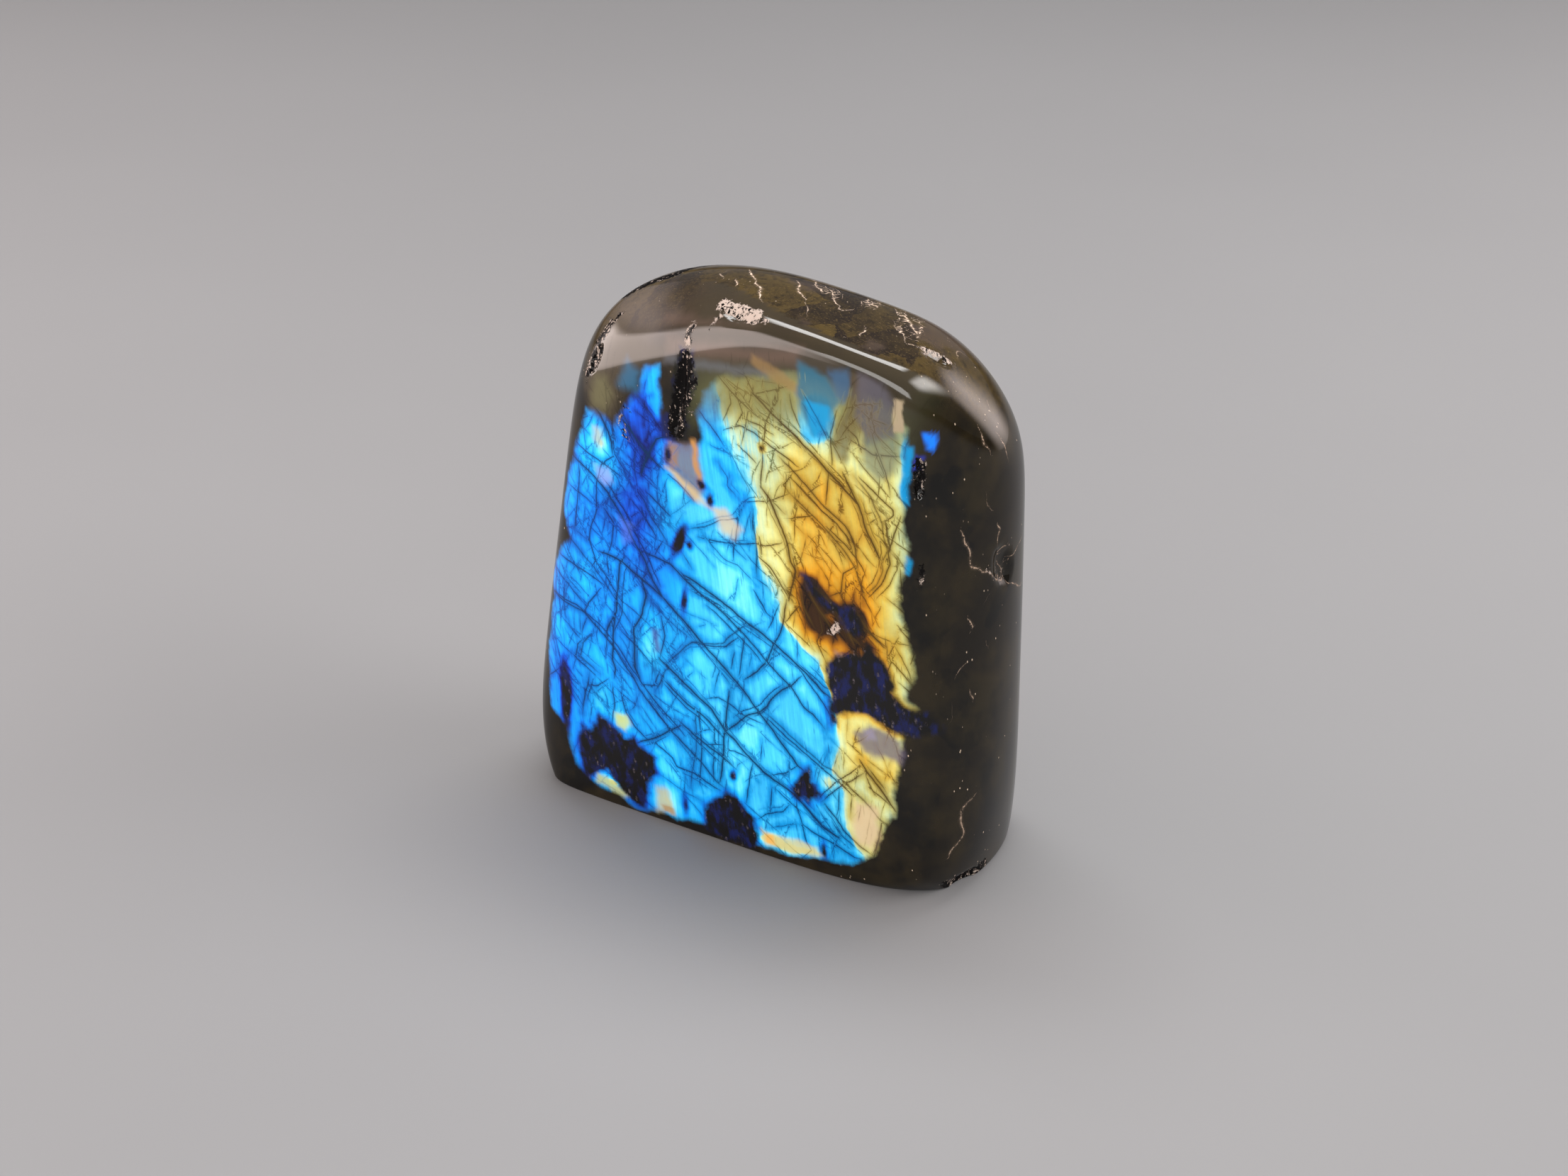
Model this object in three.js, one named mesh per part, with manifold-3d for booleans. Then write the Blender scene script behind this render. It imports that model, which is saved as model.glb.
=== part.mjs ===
// A polished freeform of labradorite: one piece of stone, ground on a wheel to a slab with soft edges,
// sawn flat underneath so that it stands up. Millimetres, +Z up, the lit face looks towards -Y.
// The origin is the middle of the stone's box, on the surface it stands on.

import * as THREE from 'three';
import { mergeVertices } from 'three/addons/utils/BufferGeometryUtils.js';
import Module from 'manifold-3d';

const wasm = await Module();
wasm.setup();

// Driving dimensions

// A point inside the stone that every ground face is measured from
const HEART = new THREE.Vector3( - 0.1, - 0.95, 46 );

// Every face that the wheel has ground: where it looks (azimuth from the front towards the right, and
// elevation, in degrees), how far from the heart it lies, and how softly it meets its neighbours.
// An edge comes out with a radius of about 2.4 times the softness.
const FACES = [
	{ name: 'front', azimuth: 0, elevation: 1, distance: 18.5, softness: 1 },
	{ name: 'back', azimuth: 180, elevation: 4, distance: 18.5, softness: 2.5 },
	{ name: 'right side', azimuth: 91, elevation: 0.5, distance: 46, softness: 3 },
	{ name: 'left side', azimuth: - 89, elevation: 9.5, distance: 41, softness: 3 },
	{ name: 'top', azimuth: 80, elevation: 81, distance: 56.5, softness: 1.6 },
	{ name: 'right shoulder', azimuth: 107, elevation: 41, distance: 56, softness: 2 },
	{ name: 'left shoulder', azimuth: - 91, elevation: 70, distance: 57, softness: 4.5 },
	{ name: 'brow', azimuth: - 18, elevation: 38.5, distance: 46, softness: 4 },
	{ name: 'front right corner', azimuth: 51, elevation: 5, distance: 40.5, softness: 2.5 },
	{ name: 'front left corner', azimuth: - 39, elevation: 6, distance: 36, softness: 2 },
	{ name: 'back right corner', azimuth: 132, elevation: 1, distance: 39.5, softness: 4 },
	{ name: 'back left corner', azimuth: - 135, elevation: 6, distance: 32.5, softness: 4 },
	{ name: 'back shoulder', azimuth: 170, elevation: 55, distance: 48.5, softness: 4 },
	{ name: 'right tuck', azimuth: 90, elevation: - 23, distance: 60, softness: 3 },
	{ name: 'left tuck', azimuth: - 90, elevation: - 33, distance: 59, softness: 3 },
	{ name: 'front tuck', azimuth: 20, elevation: - 50, distance: 52.5, softness: 3 },
	{ name: 'back tuck', azimuth: 180, elevation: - 50, distance: 52, softness: 3 },
	{ name: 'underside', azimuth: 0, elevation: - 90, distance: 50, softness: 1 }
];

// Chips and open pits that the polishing left: a point near the middle of each, the way its long side
// runs, and its length, width and depth
const HOLLOWS = [
	{ name: 'dark vein in the front', at: [ - 9.1, - 18.75, 85.5 ], along: [ 1, 0, 9 ], length: 18, width: 2.6, depth: 0.9 },
	{ name: 'pit on the crest', at: [ 1.4, - 15.65, 99.3 ], along: [ 9, - 1.5, 0 ], length: 9.5, width: 2.4, depth: 0.7 },
	{ name: 'pit at the left edge', at: [ - 27.3, - 16.45, 85.8 ], along: [ 1, 0, 5 ], length: 7, width: 3, depth: 0.7 },
	{ name: 'ledge on the shoulder', at: [ 32.1, - 6.35, 95.8 ], along: [ 3.7, 3.4, - 3 ], length: 7, width: 2.6, depth: 0.8 },
	{ name: 'pits at the right edge', at: [ 35.3, - 16.55, 79 ], along: [ 0, 0, 1 ], length: 7, width: 1.8, depth: 0.6 },
	{ name: 'flake out of the right side', at: [ 44.4, - 3.35, 60.5 ], along: [ 0, - 2, 5 ], length: 9, width: 6, depth: 1 },
	{ name: 'chip at the base', at: [ 42.4, - 9.75, 1.2 ], along: [ 0, 1, 0 ], length: 10, width: 5, depth: 1.3 }
];

// The net of points that carries the surface: a box about the stone's size, in steps across, through
// and up, drawn together towards its edges, where the stone curves most
const NET = { halfWidth: 40, halfThickness: 16, halfHeight: 49, across: 30, through: 13, up: 34 };
const GATHER = 1.15;

const REACH = 150; // longer than any way from the heart to the surface
const HALVINGS = 40;

// The shape

function direction( azimuth, elevation ) {

	const a = THREE.MathUtils.degToRad( azimuth );
	const e = THREE.MathUtils.degToRad( elevation );
	return new THREE.Vector3( Math.sin( a ) * Math.cos( e ), - Math.cos( a ) * Math.cos( e ), Math.sin( e ) );

}

for ( const face of FACES ) face.normal = direction( face.azimuth, face.elevation );

// How far each face pushes a point out, added up: the surface is where the sum is 1. Deep inside it is
// near 0, one step outside any face it is above 1, and where two faces share the sum their edge is round.
function push( point ) {

	let sum = 0;
	for ( const face of FACES ) {

		const height = point.clone().sub( HEART ).dot( face.normal );
		sum += Math.exp( Math.min( ( height - face.distance ) / face.softness, 50 ) );

	}

	return sum;

}

// The point of the surface that lies in a given direction from the heart
function surfacePoint( way ) {

	const unit = way.clone().normalize();
	let inside = 0;
	let outside = REACH;
	for ( let i = 0; i < HALVINGS; i ++ ) {

		const middle = ( inside + outside ) / 2;
		if ( push( unit.clone().multiplyScalar( middle ).add( HEART ) ) < 1 ) inside = middle;
		else outside = middle;

	}

	return unit.multiplyScalar( inside ).add( HEART );

}

// The way out of the stone at a point of its surface: the faces' own directions, each by its share
function outward( point ) {

	const way = new THREE.Vector3();
	for ( const face of FACES ) {

		const height = point.clone().sub( HEART ).dot( face.normal );
		const share = Math.exp( ( height - face.distance ) / face.softness ) / face.softness;
		way.addScaledVector( face.normal, share );

	}

	return way.normalize();

}

function gather( t ) {

	return Math.sin( t * GATHER ) / Math.sin( GATHER );

}

function groundStone() {

	const geometry = new THREE.BoxGeometry( 2, 2, 2, NET.across, NET.through, NET.up );
	const place = geometry.attributes.position;
	const point = new THREE.Vector3();
	for ( let i = 0; i < place.count; i ++ ) {

		point.fromBufferAttribute( place, i );
		point.set(
			gather( point.x ) * NET.halfWidth,
			gather( point.y ) * NET.halfThickness,
			gather( point.z ) * NET.halfHeight
		);
		const onStone = surfacePoint( point );
		place.setXYZ( i, onStone.x, onStone.y, onStone.z );

	}

	return geometry;

}

// A chip comes away as a shallow dish, so its cutter is a flat ellipsoid whose middle lies just outside
function dish( { at, along, length, width, depth } ) {

	const middle = surfacePoint( new THREE.Vector3( ...at ).sub( HEART ) );
	const out = outward( middle );
	const lengthwise = new THREE.Vector3( ...along ).normalize();
	lengthwise.addScaledVector( out, - lengthwise.dot( out ) ).normalize();
	const crosswise = new THREE.Vector3().crossVectors( out, lengthwise );
	const lift = depth / 2;

	const frame = new THREE.Matrix4().makeBasis(
		lengthwise.multiplyScalar( length / 2 ),
		crosswise.multiplyScalar( width / 2 ),
		out.clone().multiplyScalar( depth + lift )
	);
	frame.setPosition( middle.addScaledVector( out, lift ) );
	return new THREE.IcosahedronGeometry( 1, 2 ).applyMatrix4( frame );

}

// Solids

function toSolid( geometry ) {

	const bare = geometry.clone();
	bare.deleteAttribute( 'normal' );
	bare.deleteAttribute( 'uv' );
	const merged = mergeVertices( bare.index ? bare : mergeVertices( bare ), 1e-4 );
	return new wasm.Manifold( new wasm.Mesh( {
		numProp: 3,
		vertProperties: new Float32Array( merged.attributes.position.array ),
		triVerts: new Uint32Array( merged.index.array )
	} ) );

}

function toGeometry( solid ) {

	const mesh = solid.getMesh();
	const geometry = new THREE.BufferGeometry();
	geometry.setAttribute( 'position', new THREE.BufferAttribute( mesh.vertProperties, 3 ) );
	geometry.setIndex( new THREE.BufferAttribute( mesh.triVerts, 1 ) );
	return geometry;

}

// What the saw takes off below the base
function sawnAway() {

	const wide = 200;
	const thick = 40;
	const block = new THREE.BoxGeometry( wide, wide, thick );
	return block.translate( 0, 0, - thick / 2 );

}

let solid = toSolid( groundStone() );
for ( const hollow of HOLLOWS ) solid = solid.subtract( toSolid( dish( hollow ) ) );
solid = solid.subtract( toSolid( sawnAway() ) );

const geometry = toGeometry( solid );
geometry.computeBoundingBox();
const middle = geometry.boundingBox.getCenter( new THREE.Vector3() );
geometry.translate( - middle.x, - middle.y, 0 );
geometry.computeVertexNormals();

// Near-black brown body colour under a glassy polish
const polished = new THREE.MeshStandardMaterial( { color: 0x2a2722, roughness: 0.12, metalness: 0 } );

const stone = new THREE.Mesh( geometry, polished );
stone.name = 'stone';

const labradorite = new THREE.Group();
labradorite.add( stone );

export default labradorite;
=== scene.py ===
# %% [markdown]
# # A polished freeform of labradorite
#
# The real thing is one hand-sized piece of dark feldspar. It was ground on a wheel to a slab with
# soft edges, polished all over, and sawn flat underneath so that it stands by itself. Seen from the
# front, thin layers inside the crystal throw back blue and gold light. That flash, the cracks in it
# and the dark inclusions all lie under the polish, so they are colour here, not relief. Only the
# chips and open pits that the polish didn't reach are modelled in the surface.
#
# Everything is in metres, and the stone's own sizes are written in millimetres.

# %% Load the frame
import math
import random

import bmesh
import bpy
import numpy as np
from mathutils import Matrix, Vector
from mathutils import noise as field


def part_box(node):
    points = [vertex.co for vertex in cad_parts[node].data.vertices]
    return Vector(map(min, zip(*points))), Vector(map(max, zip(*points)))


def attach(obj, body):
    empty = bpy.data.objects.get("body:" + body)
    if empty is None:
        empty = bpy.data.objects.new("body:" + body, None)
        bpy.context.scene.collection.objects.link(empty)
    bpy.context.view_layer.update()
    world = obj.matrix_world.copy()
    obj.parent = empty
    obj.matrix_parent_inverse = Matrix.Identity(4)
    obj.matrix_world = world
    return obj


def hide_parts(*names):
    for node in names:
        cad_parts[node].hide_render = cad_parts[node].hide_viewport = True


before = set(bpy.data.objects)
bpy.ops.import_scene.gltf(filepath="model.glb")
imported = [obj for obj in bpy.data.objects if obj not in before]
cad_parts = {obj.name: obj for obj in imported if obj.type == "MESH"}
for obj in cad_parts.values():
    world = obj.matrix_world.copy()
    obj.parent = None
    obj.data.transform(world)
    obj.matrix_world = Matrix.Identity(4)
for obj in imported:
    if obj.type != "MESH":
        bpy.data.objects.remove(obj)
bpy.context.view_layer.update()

MM = 0.001
low, high = (np.array(corner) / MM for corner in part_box("stone"))
print("the solid stone measures", np.round(high - low, 1), "mm")


# %% [markdown]
# ## Where things point
#
# A direction around the stone is an azimuth, counted from straight in front towards the right, and
# an elevation above the level. The camera, the lights and the ground faces all use it.

# %% Directions
def toward(azimuth, elevation):
    a, e = math.radians(azimuth), math.radians(elevation)
    return np.array([math.sin(a) * math.cos(e), -math.cos(a) * math.cos(e), math.sin(e)])


def aim(thing, place, target):
    """Puts a camera or a light at a place in mm and turns it to face a target in mm."""
    place, target = Vector(place), Vector(target)
    thing.location = place * MM
    thing.rotation_euler = (target - place).to_track_quat("-Z", "Y").to_euler()


# %% [markdown]
# ## The camera
#
# The photograph was taken from above the stone's right front corner. A 60 mm lens at arm's length
# gives its perspective: the verticals hardly lean, and the far end of the base is a little smaller.

# %% Camera
LENS_MM, SENSOR_MM = 60, 36
VIEW_AZIMUTH, VIEW_ELEVATION, VIEW_DISTANCE_MM = 31.8, 28.2, 458.5
VIEW_TARGET_MM = np.array([0.4, -0.95, 42.7])

camera = bpy.data.objects.new("camera", bpy.data.cameras.new("camera"))
bpy.context.collection.objects.link(camera)
camera.data.lens = LENS_MM
camera.data.sensor_width = SENSOR_MM
aim(camera, VIEW_TARGET_MM + toward(VIEW_AZIMUTH, VIEW_ELEVATION) * VIEW_DISTANCE_MM, VIEW_TARGET_MM)
bpy.context.scene.camera = camera
print("camera at", np.round(np.array(camera.location) / MM), "mm")


# %% [markdown]
# ## The stone's form
#
# A stone shaped on a wheel is what is left inside a set of ground faces. Each face is a plane at
# some distance from the heart of the stone. Where two faces meet, the wheel is rolled over the edge
# until it is round. A formula says the same: every face pushes a point outwards by the exponential
# of how far the point lies beyond it, and the surface is where all the pushes add up to 1. A small
# softness keeps an edge crisp, a large one rolls it off. Modelling the slab as a bevelled box would
# give every edge one radius, and sculpting it would lose the sizes, so the formula is used.

# %% Ground faces
HEART = np.array([-0.1, -0.95, 46])

# name, azimuth, elevation, distance from the heart in mm, softness in mm
FACES = [
    ("front", 0, 1, 18.5, 1),
    ("back", 180, 4, 18.5, 2.5),
    ("right side", 91, 0.5, 46, 3),
    ("left side", -89, 9.5, 41, 3),
    ("top", 80, 81, 56.5, 1.6),
    ("right shoulder", 107, 41, 56, 2),
    ("left shoulder", -91, 70, 57, 4.5),
    ("brow", -18, 38.5, 46, 4),
    ("front right corner", 51, 5, 40.5, 2.5),
    ("front left corner", -39, 6, 36, 2),
    ("back right corner", 132, 1, 39.5, 4),
    ("back left corner", -135, 6, 32.5, 4),
    ("back shoulder", 170, 55, 48.5, 4),
    ("right tuck", 90, -23, 60, 3),
    ("left tuck", -90, -33, 59, 3),
    ("front tuck", 20, -50, 52.5, 3),
    ("back tuck", 180, -50, 52, 3),
    ("underside", 0, -90, 50, 1),
]
NORMALS = np.array([toward(azimuth, elevation) for _, azimuth, elevation, _, _ in FACES])
DISTANCES = np.array([face[3] for face in FACES], float)
SOFTNESS = np.array([face[4] for face in FACES], float)


def pushes(points):
    return np.exp(np.minimum(((points - HEART) @ NORMALS.T - DISTANCES) / SOFTNESS, 50))


def reach(ways):
    """How far the surface lies from the heart along each unit direction."""
    near, far = np.zeros(len(ways)), np.full(len(ways), 150.0)
    for _ in range(36):
        middle = (near + far) / 2
        inside = pushes(HEART + ways * middle[:, None]).sum(1) < 1
        near = np.where(inside, middle, near)
        far = np.where(inside, far, middle)
    return near


def outward(points):
    """The way out of the stone at points of its surface."""
    ways = (pushes(points) / SOFTNESS) @ NORMALS
    return ways / np.linalg.norm(ways, axis=1, keepdims=True)


def unit(ways):
    return ways / np.linalg.norm(ways, axis=1, keepdims=True)


print("the front face lies", reach(toward(0, 0)[None])[0].round(2), "mm from the heart")


# %% [markdown]
# ## A net over the stone
#
# The surface needs points wherever something shows. A box net of even squares is laid round the
# heart first. Then the front, the right side, the top and the left side are halved once, and the
# front once more, because the flash and its cracks are read at a third of a millimetre. Blender's
# own subdivide makes the triangles between coarse and fine. Last, each point slides along its ray
# from the heart until it meets the ground surface.

# %% Net
NET_HALF = np.array([40, 16, 49])
NET_STEP = 1.35


def box_net():
    counts = np.round(2 * NET_HALF / NET_STEP).astype(int)
    net = bmesh.new()
    known = {}

    def corner(i, j, k):
        if (i, j, k) not in known:
            known[i, j, k] = net.verts.new((np.array([i, j, k]) / counts * 2 - 1) * NET_HALF)
        return known[i, j, k]

    for axis in range(3):
        u, v = (axis + 1) % 3, (axis + 2) % 3
        for side in (0, counts[axis]):
            for a in range(counts[u]):
                for b in range(counts[v]):
                    ring = []
                    for da, db in ((0, 0), (1, 0), (1, 1), (0, 1)):
                        place = [0, 0, 0]
                        place[axis], place[u], place[v] = side, a + da, b + db
                        ring.append(corner(*place))
                    net.faces.new(ring if side else ring[::-1])
    net.normal_update()
    return net


def refine(net, wanted):
    edges = {edge for face in net.faces if wanted(face.normal) for edge in face.edges}
    bmesh.ops.subdivide_edges(net, edges=list(edges), cuts=1, use_grid_fill=True)
    net.normal_update()


net = box_net()
refine(net, lambda n: n.y < -0.5 or n.x > 0.5 or n.z > 0.5 or n.x < -0.5)
refine(net, lambda n: n.y < -0.5)
print("the net has", len(net.verts), "points and", len(net.faces), "faces")


# %% [markdown]
# ## Chips and open pits
#
# Feldspar chips in shallow shells. Each hollow is a flat ellipsoid that has taken a dish out of the
# surface: its middle is set just outside, so the rim is sharp and the floor shallow. Inside a dish
# the stone was never polished, so its floor is broken up with noise.

# %% Hollows
# name, a point near the middle, the way the long side runs, length, width and depth in mm
HOLLOWS = [
    ("dark vein in the front", (-9.1, -18.75, 85.5), (1, 0, 9), 18, 2.6, 0.9),
    ("pit on the crest", (1.4, -15.65, 99.3), (9, -1.5, 0), 9.5, 2.4, 0.7),
    ("pit at the left edge", (-27.3, -16.45, 85.8), (1, 0, 5), 7, 3, 0.7),
    ("ledge on the shoulder", (32.1, -6.35, 95.8), (3.7, 3.4, -3), 7, 2.6, 0.8),
    ("pits at the right edge", (35.3, -16.55, 79), (0, 0, 1), 7, 1.8, 0.6),
    ("flake out of the right side", (44.4, -3.35, 60.5), (0, -2, 5), 9, 6, 1),
    ("chip at the base", (42.4, -9.75, 1.2), (0, 1, 0), 10, 5, 1.3),
]
FLOOR_ROUGHNESS_MM = 0.22
FLOOR_GRAIN_PER_MM = 1.3


def dish_reach(ways, at, along, length, width, depth):
    """How far the dish's near side is from the heart along each ray, or infinity where it misses."""
    middle = HEART + unit(np.array([at]) - HEART) * reach(unit(np.array([at]) - HEART))[:, None]
    out = outward(middle)[0]
    lengthwise = np.array(along, float)
    lengthwise = unit((lengthwise / np.linalg.norm(lengthwise) - (lengthwise @ out)
                       / np.linalg.norm(lengthwise) * out)[None])[0]
    crosswise = np.cross(out, lengthwise)
    lift = depth / 2
    centre = middle[0] + out * lift
    squeeze = np.array([lengthwise / (length / 2), crosswise / (width / 2), out / (depth + lift)])
    start = squeeze @ (HEART - centre)
    step = ways @ squeeze.T
    a, b, c = (step ** 2).sum(1), step @ start, start @ start - 1
    under = b * b - a * c
    return np.where((under > 0) & (b < 0), (-b - np.sqrt(np.maximum(under, 0))) / a, np.inf)


ways = unit(np.array([point.co[:] for point in net.verts]))
smooth_reach = reach(ways)
stone_reach = smooth_reach.copy()
for _, at, along, length, width, depth in HOLLOWS:
    stone_reach = np.minimum(stone_reach, dish_reach(ways, at, along, length, width, depth))
print("the deepest hollow is", (smooth_reach - stone_reach).max().round(2), "mm deep")


# %% [markdown]
# A polished stone is never quite true. The hand that held it to the wheel left shallow waves, too
# low to see as shape, but they bend every reflection. They only ever take stone away, so that the
# stone stays within the size it was given.

# %% Waves of the hand polish
WAVE_MM = 0.09
SKIN_MM = 0.03


def wave(points):
    x, y, z = points.T
    slow = np.sin(x / 7.3 + 0.6 * np.sin(z / 9.1)) * np.sin(z / 8.2 + 1.3 + 0.5 * np.sin(x / 6.1))
    quick = np.sin(y / 4.7 + z / 11 + 0.8) * np.sin(x / 12.9 - y / 6.3)
    return (slow + 0.6 * quick) / 3.2 + 0.5


places = HEART + ways * smooth_reach[:, None]
depth_below = smooth_reach - stone_reach
stone_reach -= SKIN_MM + WAVE_MM * wave(places)
for i in np.flatnonzero(depth_below > 0.02):
    grain = field.fractal(Vector(places[i] * FLOOR_GRAIN_PER_MM), 0.6, 2.1, 4)
    fade = min(1, depth_below[i] / 0.25)
    stone_reach[i] -= FLOOR_ROUGHNESS_MM * fade * (0.5 + grain)
for point, place in zip(net.verts, HEART + ways * stone_reach[:, None]):
    point.co = place
print("the polish waves by", WAVE_MM, "mm")


# %% [markdown]
# ## The sawn base
#
# The saw leaves one flat face, and a quick rub on the wheel takes the sharpness off its rim. The net
# is cut level at the base and at two heights above it, what hangs below is dropped and the opening
# closed with one flat face. Then the rings near the rim are drawn in along a quarter circle.

# %% Base
RIM_MM = 0.45
for height in (RIM_MM, RIM_MM / 3, 0):
    bmesh.ops.bisect_plane(net, geom=net.verts[:] + net.edges[:] + net.faces[:], dist=1e-4,
                           plane_co=(0, 0, height), plane_no=(0, 0, 1), clear_inner=height == 0)
rim = [edge for edge in net.edges if edge.is_boundary]
bmesh.ops.contextual_create(net, geom=rim)
for point in net.verts:
    above = max(point.co.z, 0)
    if above < RIM_MM:
        pull = RIM_MM - math.sqrt(RIM_MM ** 2 - (RIM_MM - above) ** 2)
        middle = Vector((HEART[0], HEART[1], point.co.z))
        point.co -= (point.co - middle).normalized() * pull
bmesh.ops.dissolve_degenerate(net, edges=net.edges[:], dist=0.01)
bmesh.ops.recalc_face_normals(net, faces=net.faces[:])
print("the rim has", len(rim), "edges, and", sum(e.is_boundary for e in net.edges), "are open")

# %% Stone object
mesh = bpy.data.meshes.new("stone_polished")
net.to_mesh(mesh)
net.free()
for face in mesh.polygons:
    face.use_smooth = True
points = np.empty(len(mesh.vertices) * 3)
mesh.vertices.foreach_get("co", points)
points = points.reshape(-1, 3)
mesh.vertices.foreach_set("co", (points * MM).ravel())
mesh.update()
stone = bpy.data.objects.new("stone_polished", mesh)
bpy.context.collection.objects.link(stone)
triangles = sum(len(face.vertices) - 2 for face in mesh.polygons)
print("the stone has", triangles, "triangles")


# %% [markdown]
# ## A map of the flash
#
# The colours of labradorite come from layers thinner than a hair. Where the layers are thinnest the
# stone throws back violet and blue, and as they thicken it goes through cyan, pale yellow and gold to
# brown. So one number, the order of the colour, says most of it, and the boundary between blue and
# gold is only the line where that number climbs steeply.
#
# The map is drawn in millimetres on the front of the stone: x to the right and z up from the
# base. Outlines and lines are written as pairs, and they are ruffled afterwards, because nothing in
# a crystal this broken runs straight for long. What is drawn becomes numbers on the points of the
# mesh. A distance to an outline survives that better than a painted mask: between two points it is
# still a distance, so the edge that the material draws from it stays sharp.

# %% Outlines on the front
def drawn(text):
    """Turns lines of "x z, x z" into arrays of points in mm."""
    rows = [row.split(",") for row in text.strip().splitlines()]
    return [np.array([[float(n) for n in pair.split()] for pair in row]) for row in rows]


FLASH = drawn("""
-28.5 76.5, -25 77, -22.5 76, -20.8 79, -17.5 83, -15.8 87, -13.5 88.5, -12.4 84, -12 79, -11 76, -8 75.5, -5.2 77, -5.6 81, -4.6 86, -1.5 88.5, 4 91, 10 93, 20 94, 30 92.5, 33.3 88, 33.6 80, 33.4 72, 34.2 66, 33.6 60, 34 55, 35.5 50.5, 36.2 48, 36 45, 35 39.7, 37 38, 35.5 32, 35 26, 34 20.5, 33.8 17, 32 14.8, 31.5 12, 30.3 8, 28.5 6.7, 26 5, 22 3.4, 18 2.7, 12 2, 7 1.8, -5 1.6, -16 1.3, -26 2.3, -28.5 3, -33 6, -34 14, -38 15, -39 22, -39.5 26, -38.5 34, -37.5 37.5, -39.7 39, -40 41, -38 45, -36 47.5, -33 52, -35 55.5, -34.5 58, -33.3 63, -32 67, -31 71
""")
GOLD_SIDE = drawn("""
-4.5 90, -3 87.5, -1 85, 0 80, 1.3 76, 2.5 74, 3.9 71, 4.9 70, 5.7 67, 6.2 62, 6.5 59, 9 54, 11 51, 11.7 48, 14.8 46, 17 44, 19 42, 20 40, 22 36, 22.5 33, 23 28, 22.5 26, 22 22.3, 24 20.7, 25 17, 25.5 12, 27 9, 29 6, 40 6, 45 50, 42 100, 10 100
""")
GOLD_HEART = drawn("""
11 73, 13 80, 18 81.5, 20 79, 25 76, 28 73.5, 31.5 66, 32.5 60, 33 54, 36 51, 36 44, 33 45, 30 49, 27 47, 22 45.5, 18 46, 15 49, 14 53, 15 58, 13 64
23.5 33, 25.5 29.5, 27 25.5, 30 22, 34 21.5, 35.5 25, 35 28, 31 24.5, 28 28, 25 32
""")
DARK = drawn("""
-31 14.3, -29 14, -27.5 15.5, -26.5 17.5, -25 16.8, -21.5 14.5, -19.5 15.5, -18 14.2, -15.2 12.5, -15 10, -17 6.8, -16.3 4.5, -17 2, -22 3, -26 6.5, -30.5 3.5, -31 6.5, -31.5 11
-4.2 5, -4 7, -2.5 8.5, 0.5 10.6, 2 10.5, 3.5 9.6, 6 7.5, 6.3 5.5, 6.3 3, 5.5 1, -4 1
16.5 21, 16 20, 15.3 18.5, 15 17, 14.5 16, 14.8 15, 15.5 14.5, 16.5 15, 17.2 14, 18 15, 19 15.5, 19.7 16.5, 18.8 17.5, 18 17.8, 17.5 19
20.5 43.5, 21.5 45, 23 45, 25.5 46.2, 27 45.8, 28.3 47.5, 29.5 46, 31 44.8, 32 43.8, 32.5 42, 33 40.5, 34 39, 35.5 38, 39 37, 40 34, 36 33.5, 31 33.5, 29 34.5, 26 34.5, 24 34.3, 22 33, 22.5 31.5, 21.5 31, 21 33, 21.5 37.5, 20.8 38.5, 20.3 41
-12 76.5, -10.5 76, -8.5 77.5, -7.5 80, -7 84, -6.2 88, -6.5 92, -9.5 92, -10 87, -10.2 82, -11.5 79, -12.3 78
15.2 57.6, 16.5 57, 18.5 55.6, 20.5 54.6, 22.5 53.9, 25.5 54.5, 26.5 53, 27 50.5, 25.5 49.2, 23.5 50.5, 22.5 52.7, 19.5 53.6, 17 55.3
""")
print("the flash is drawn with", sum(map(len, FLASH)), "points, the dark patches with", sum(map(len, DARK)))

# %% Spots on the front
# x, z, half width, half height in mm, lean to the right in degrees
DARK_SPOTS = [
    (-9.2, 57.5, 0.9, 2.8, 20), (-7, 57.2, 0.4, 0.5, 0), (-8.2, 46, 0.45, 1.5, 5), (1.5, 14.5, 0.5, 0.7, 20),
    (7.3, 78.7, 0.35, 0.35, 0), (-4.5, 69, 0.6, 0.8, -30), (-2.8, 66.5, 0.5, 0.9, 0), (-11.3, 73, 0.45, 1.1, 0),
    (20.2, 5, 0.4, 1.1, 0), (-8.3, 5, 0.25, 0.9, 0), (20.3, 41.3, 0.3, 0.6, 0), (-34.3, 19.5, 1.1, 5.5, 0),
]
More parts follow.
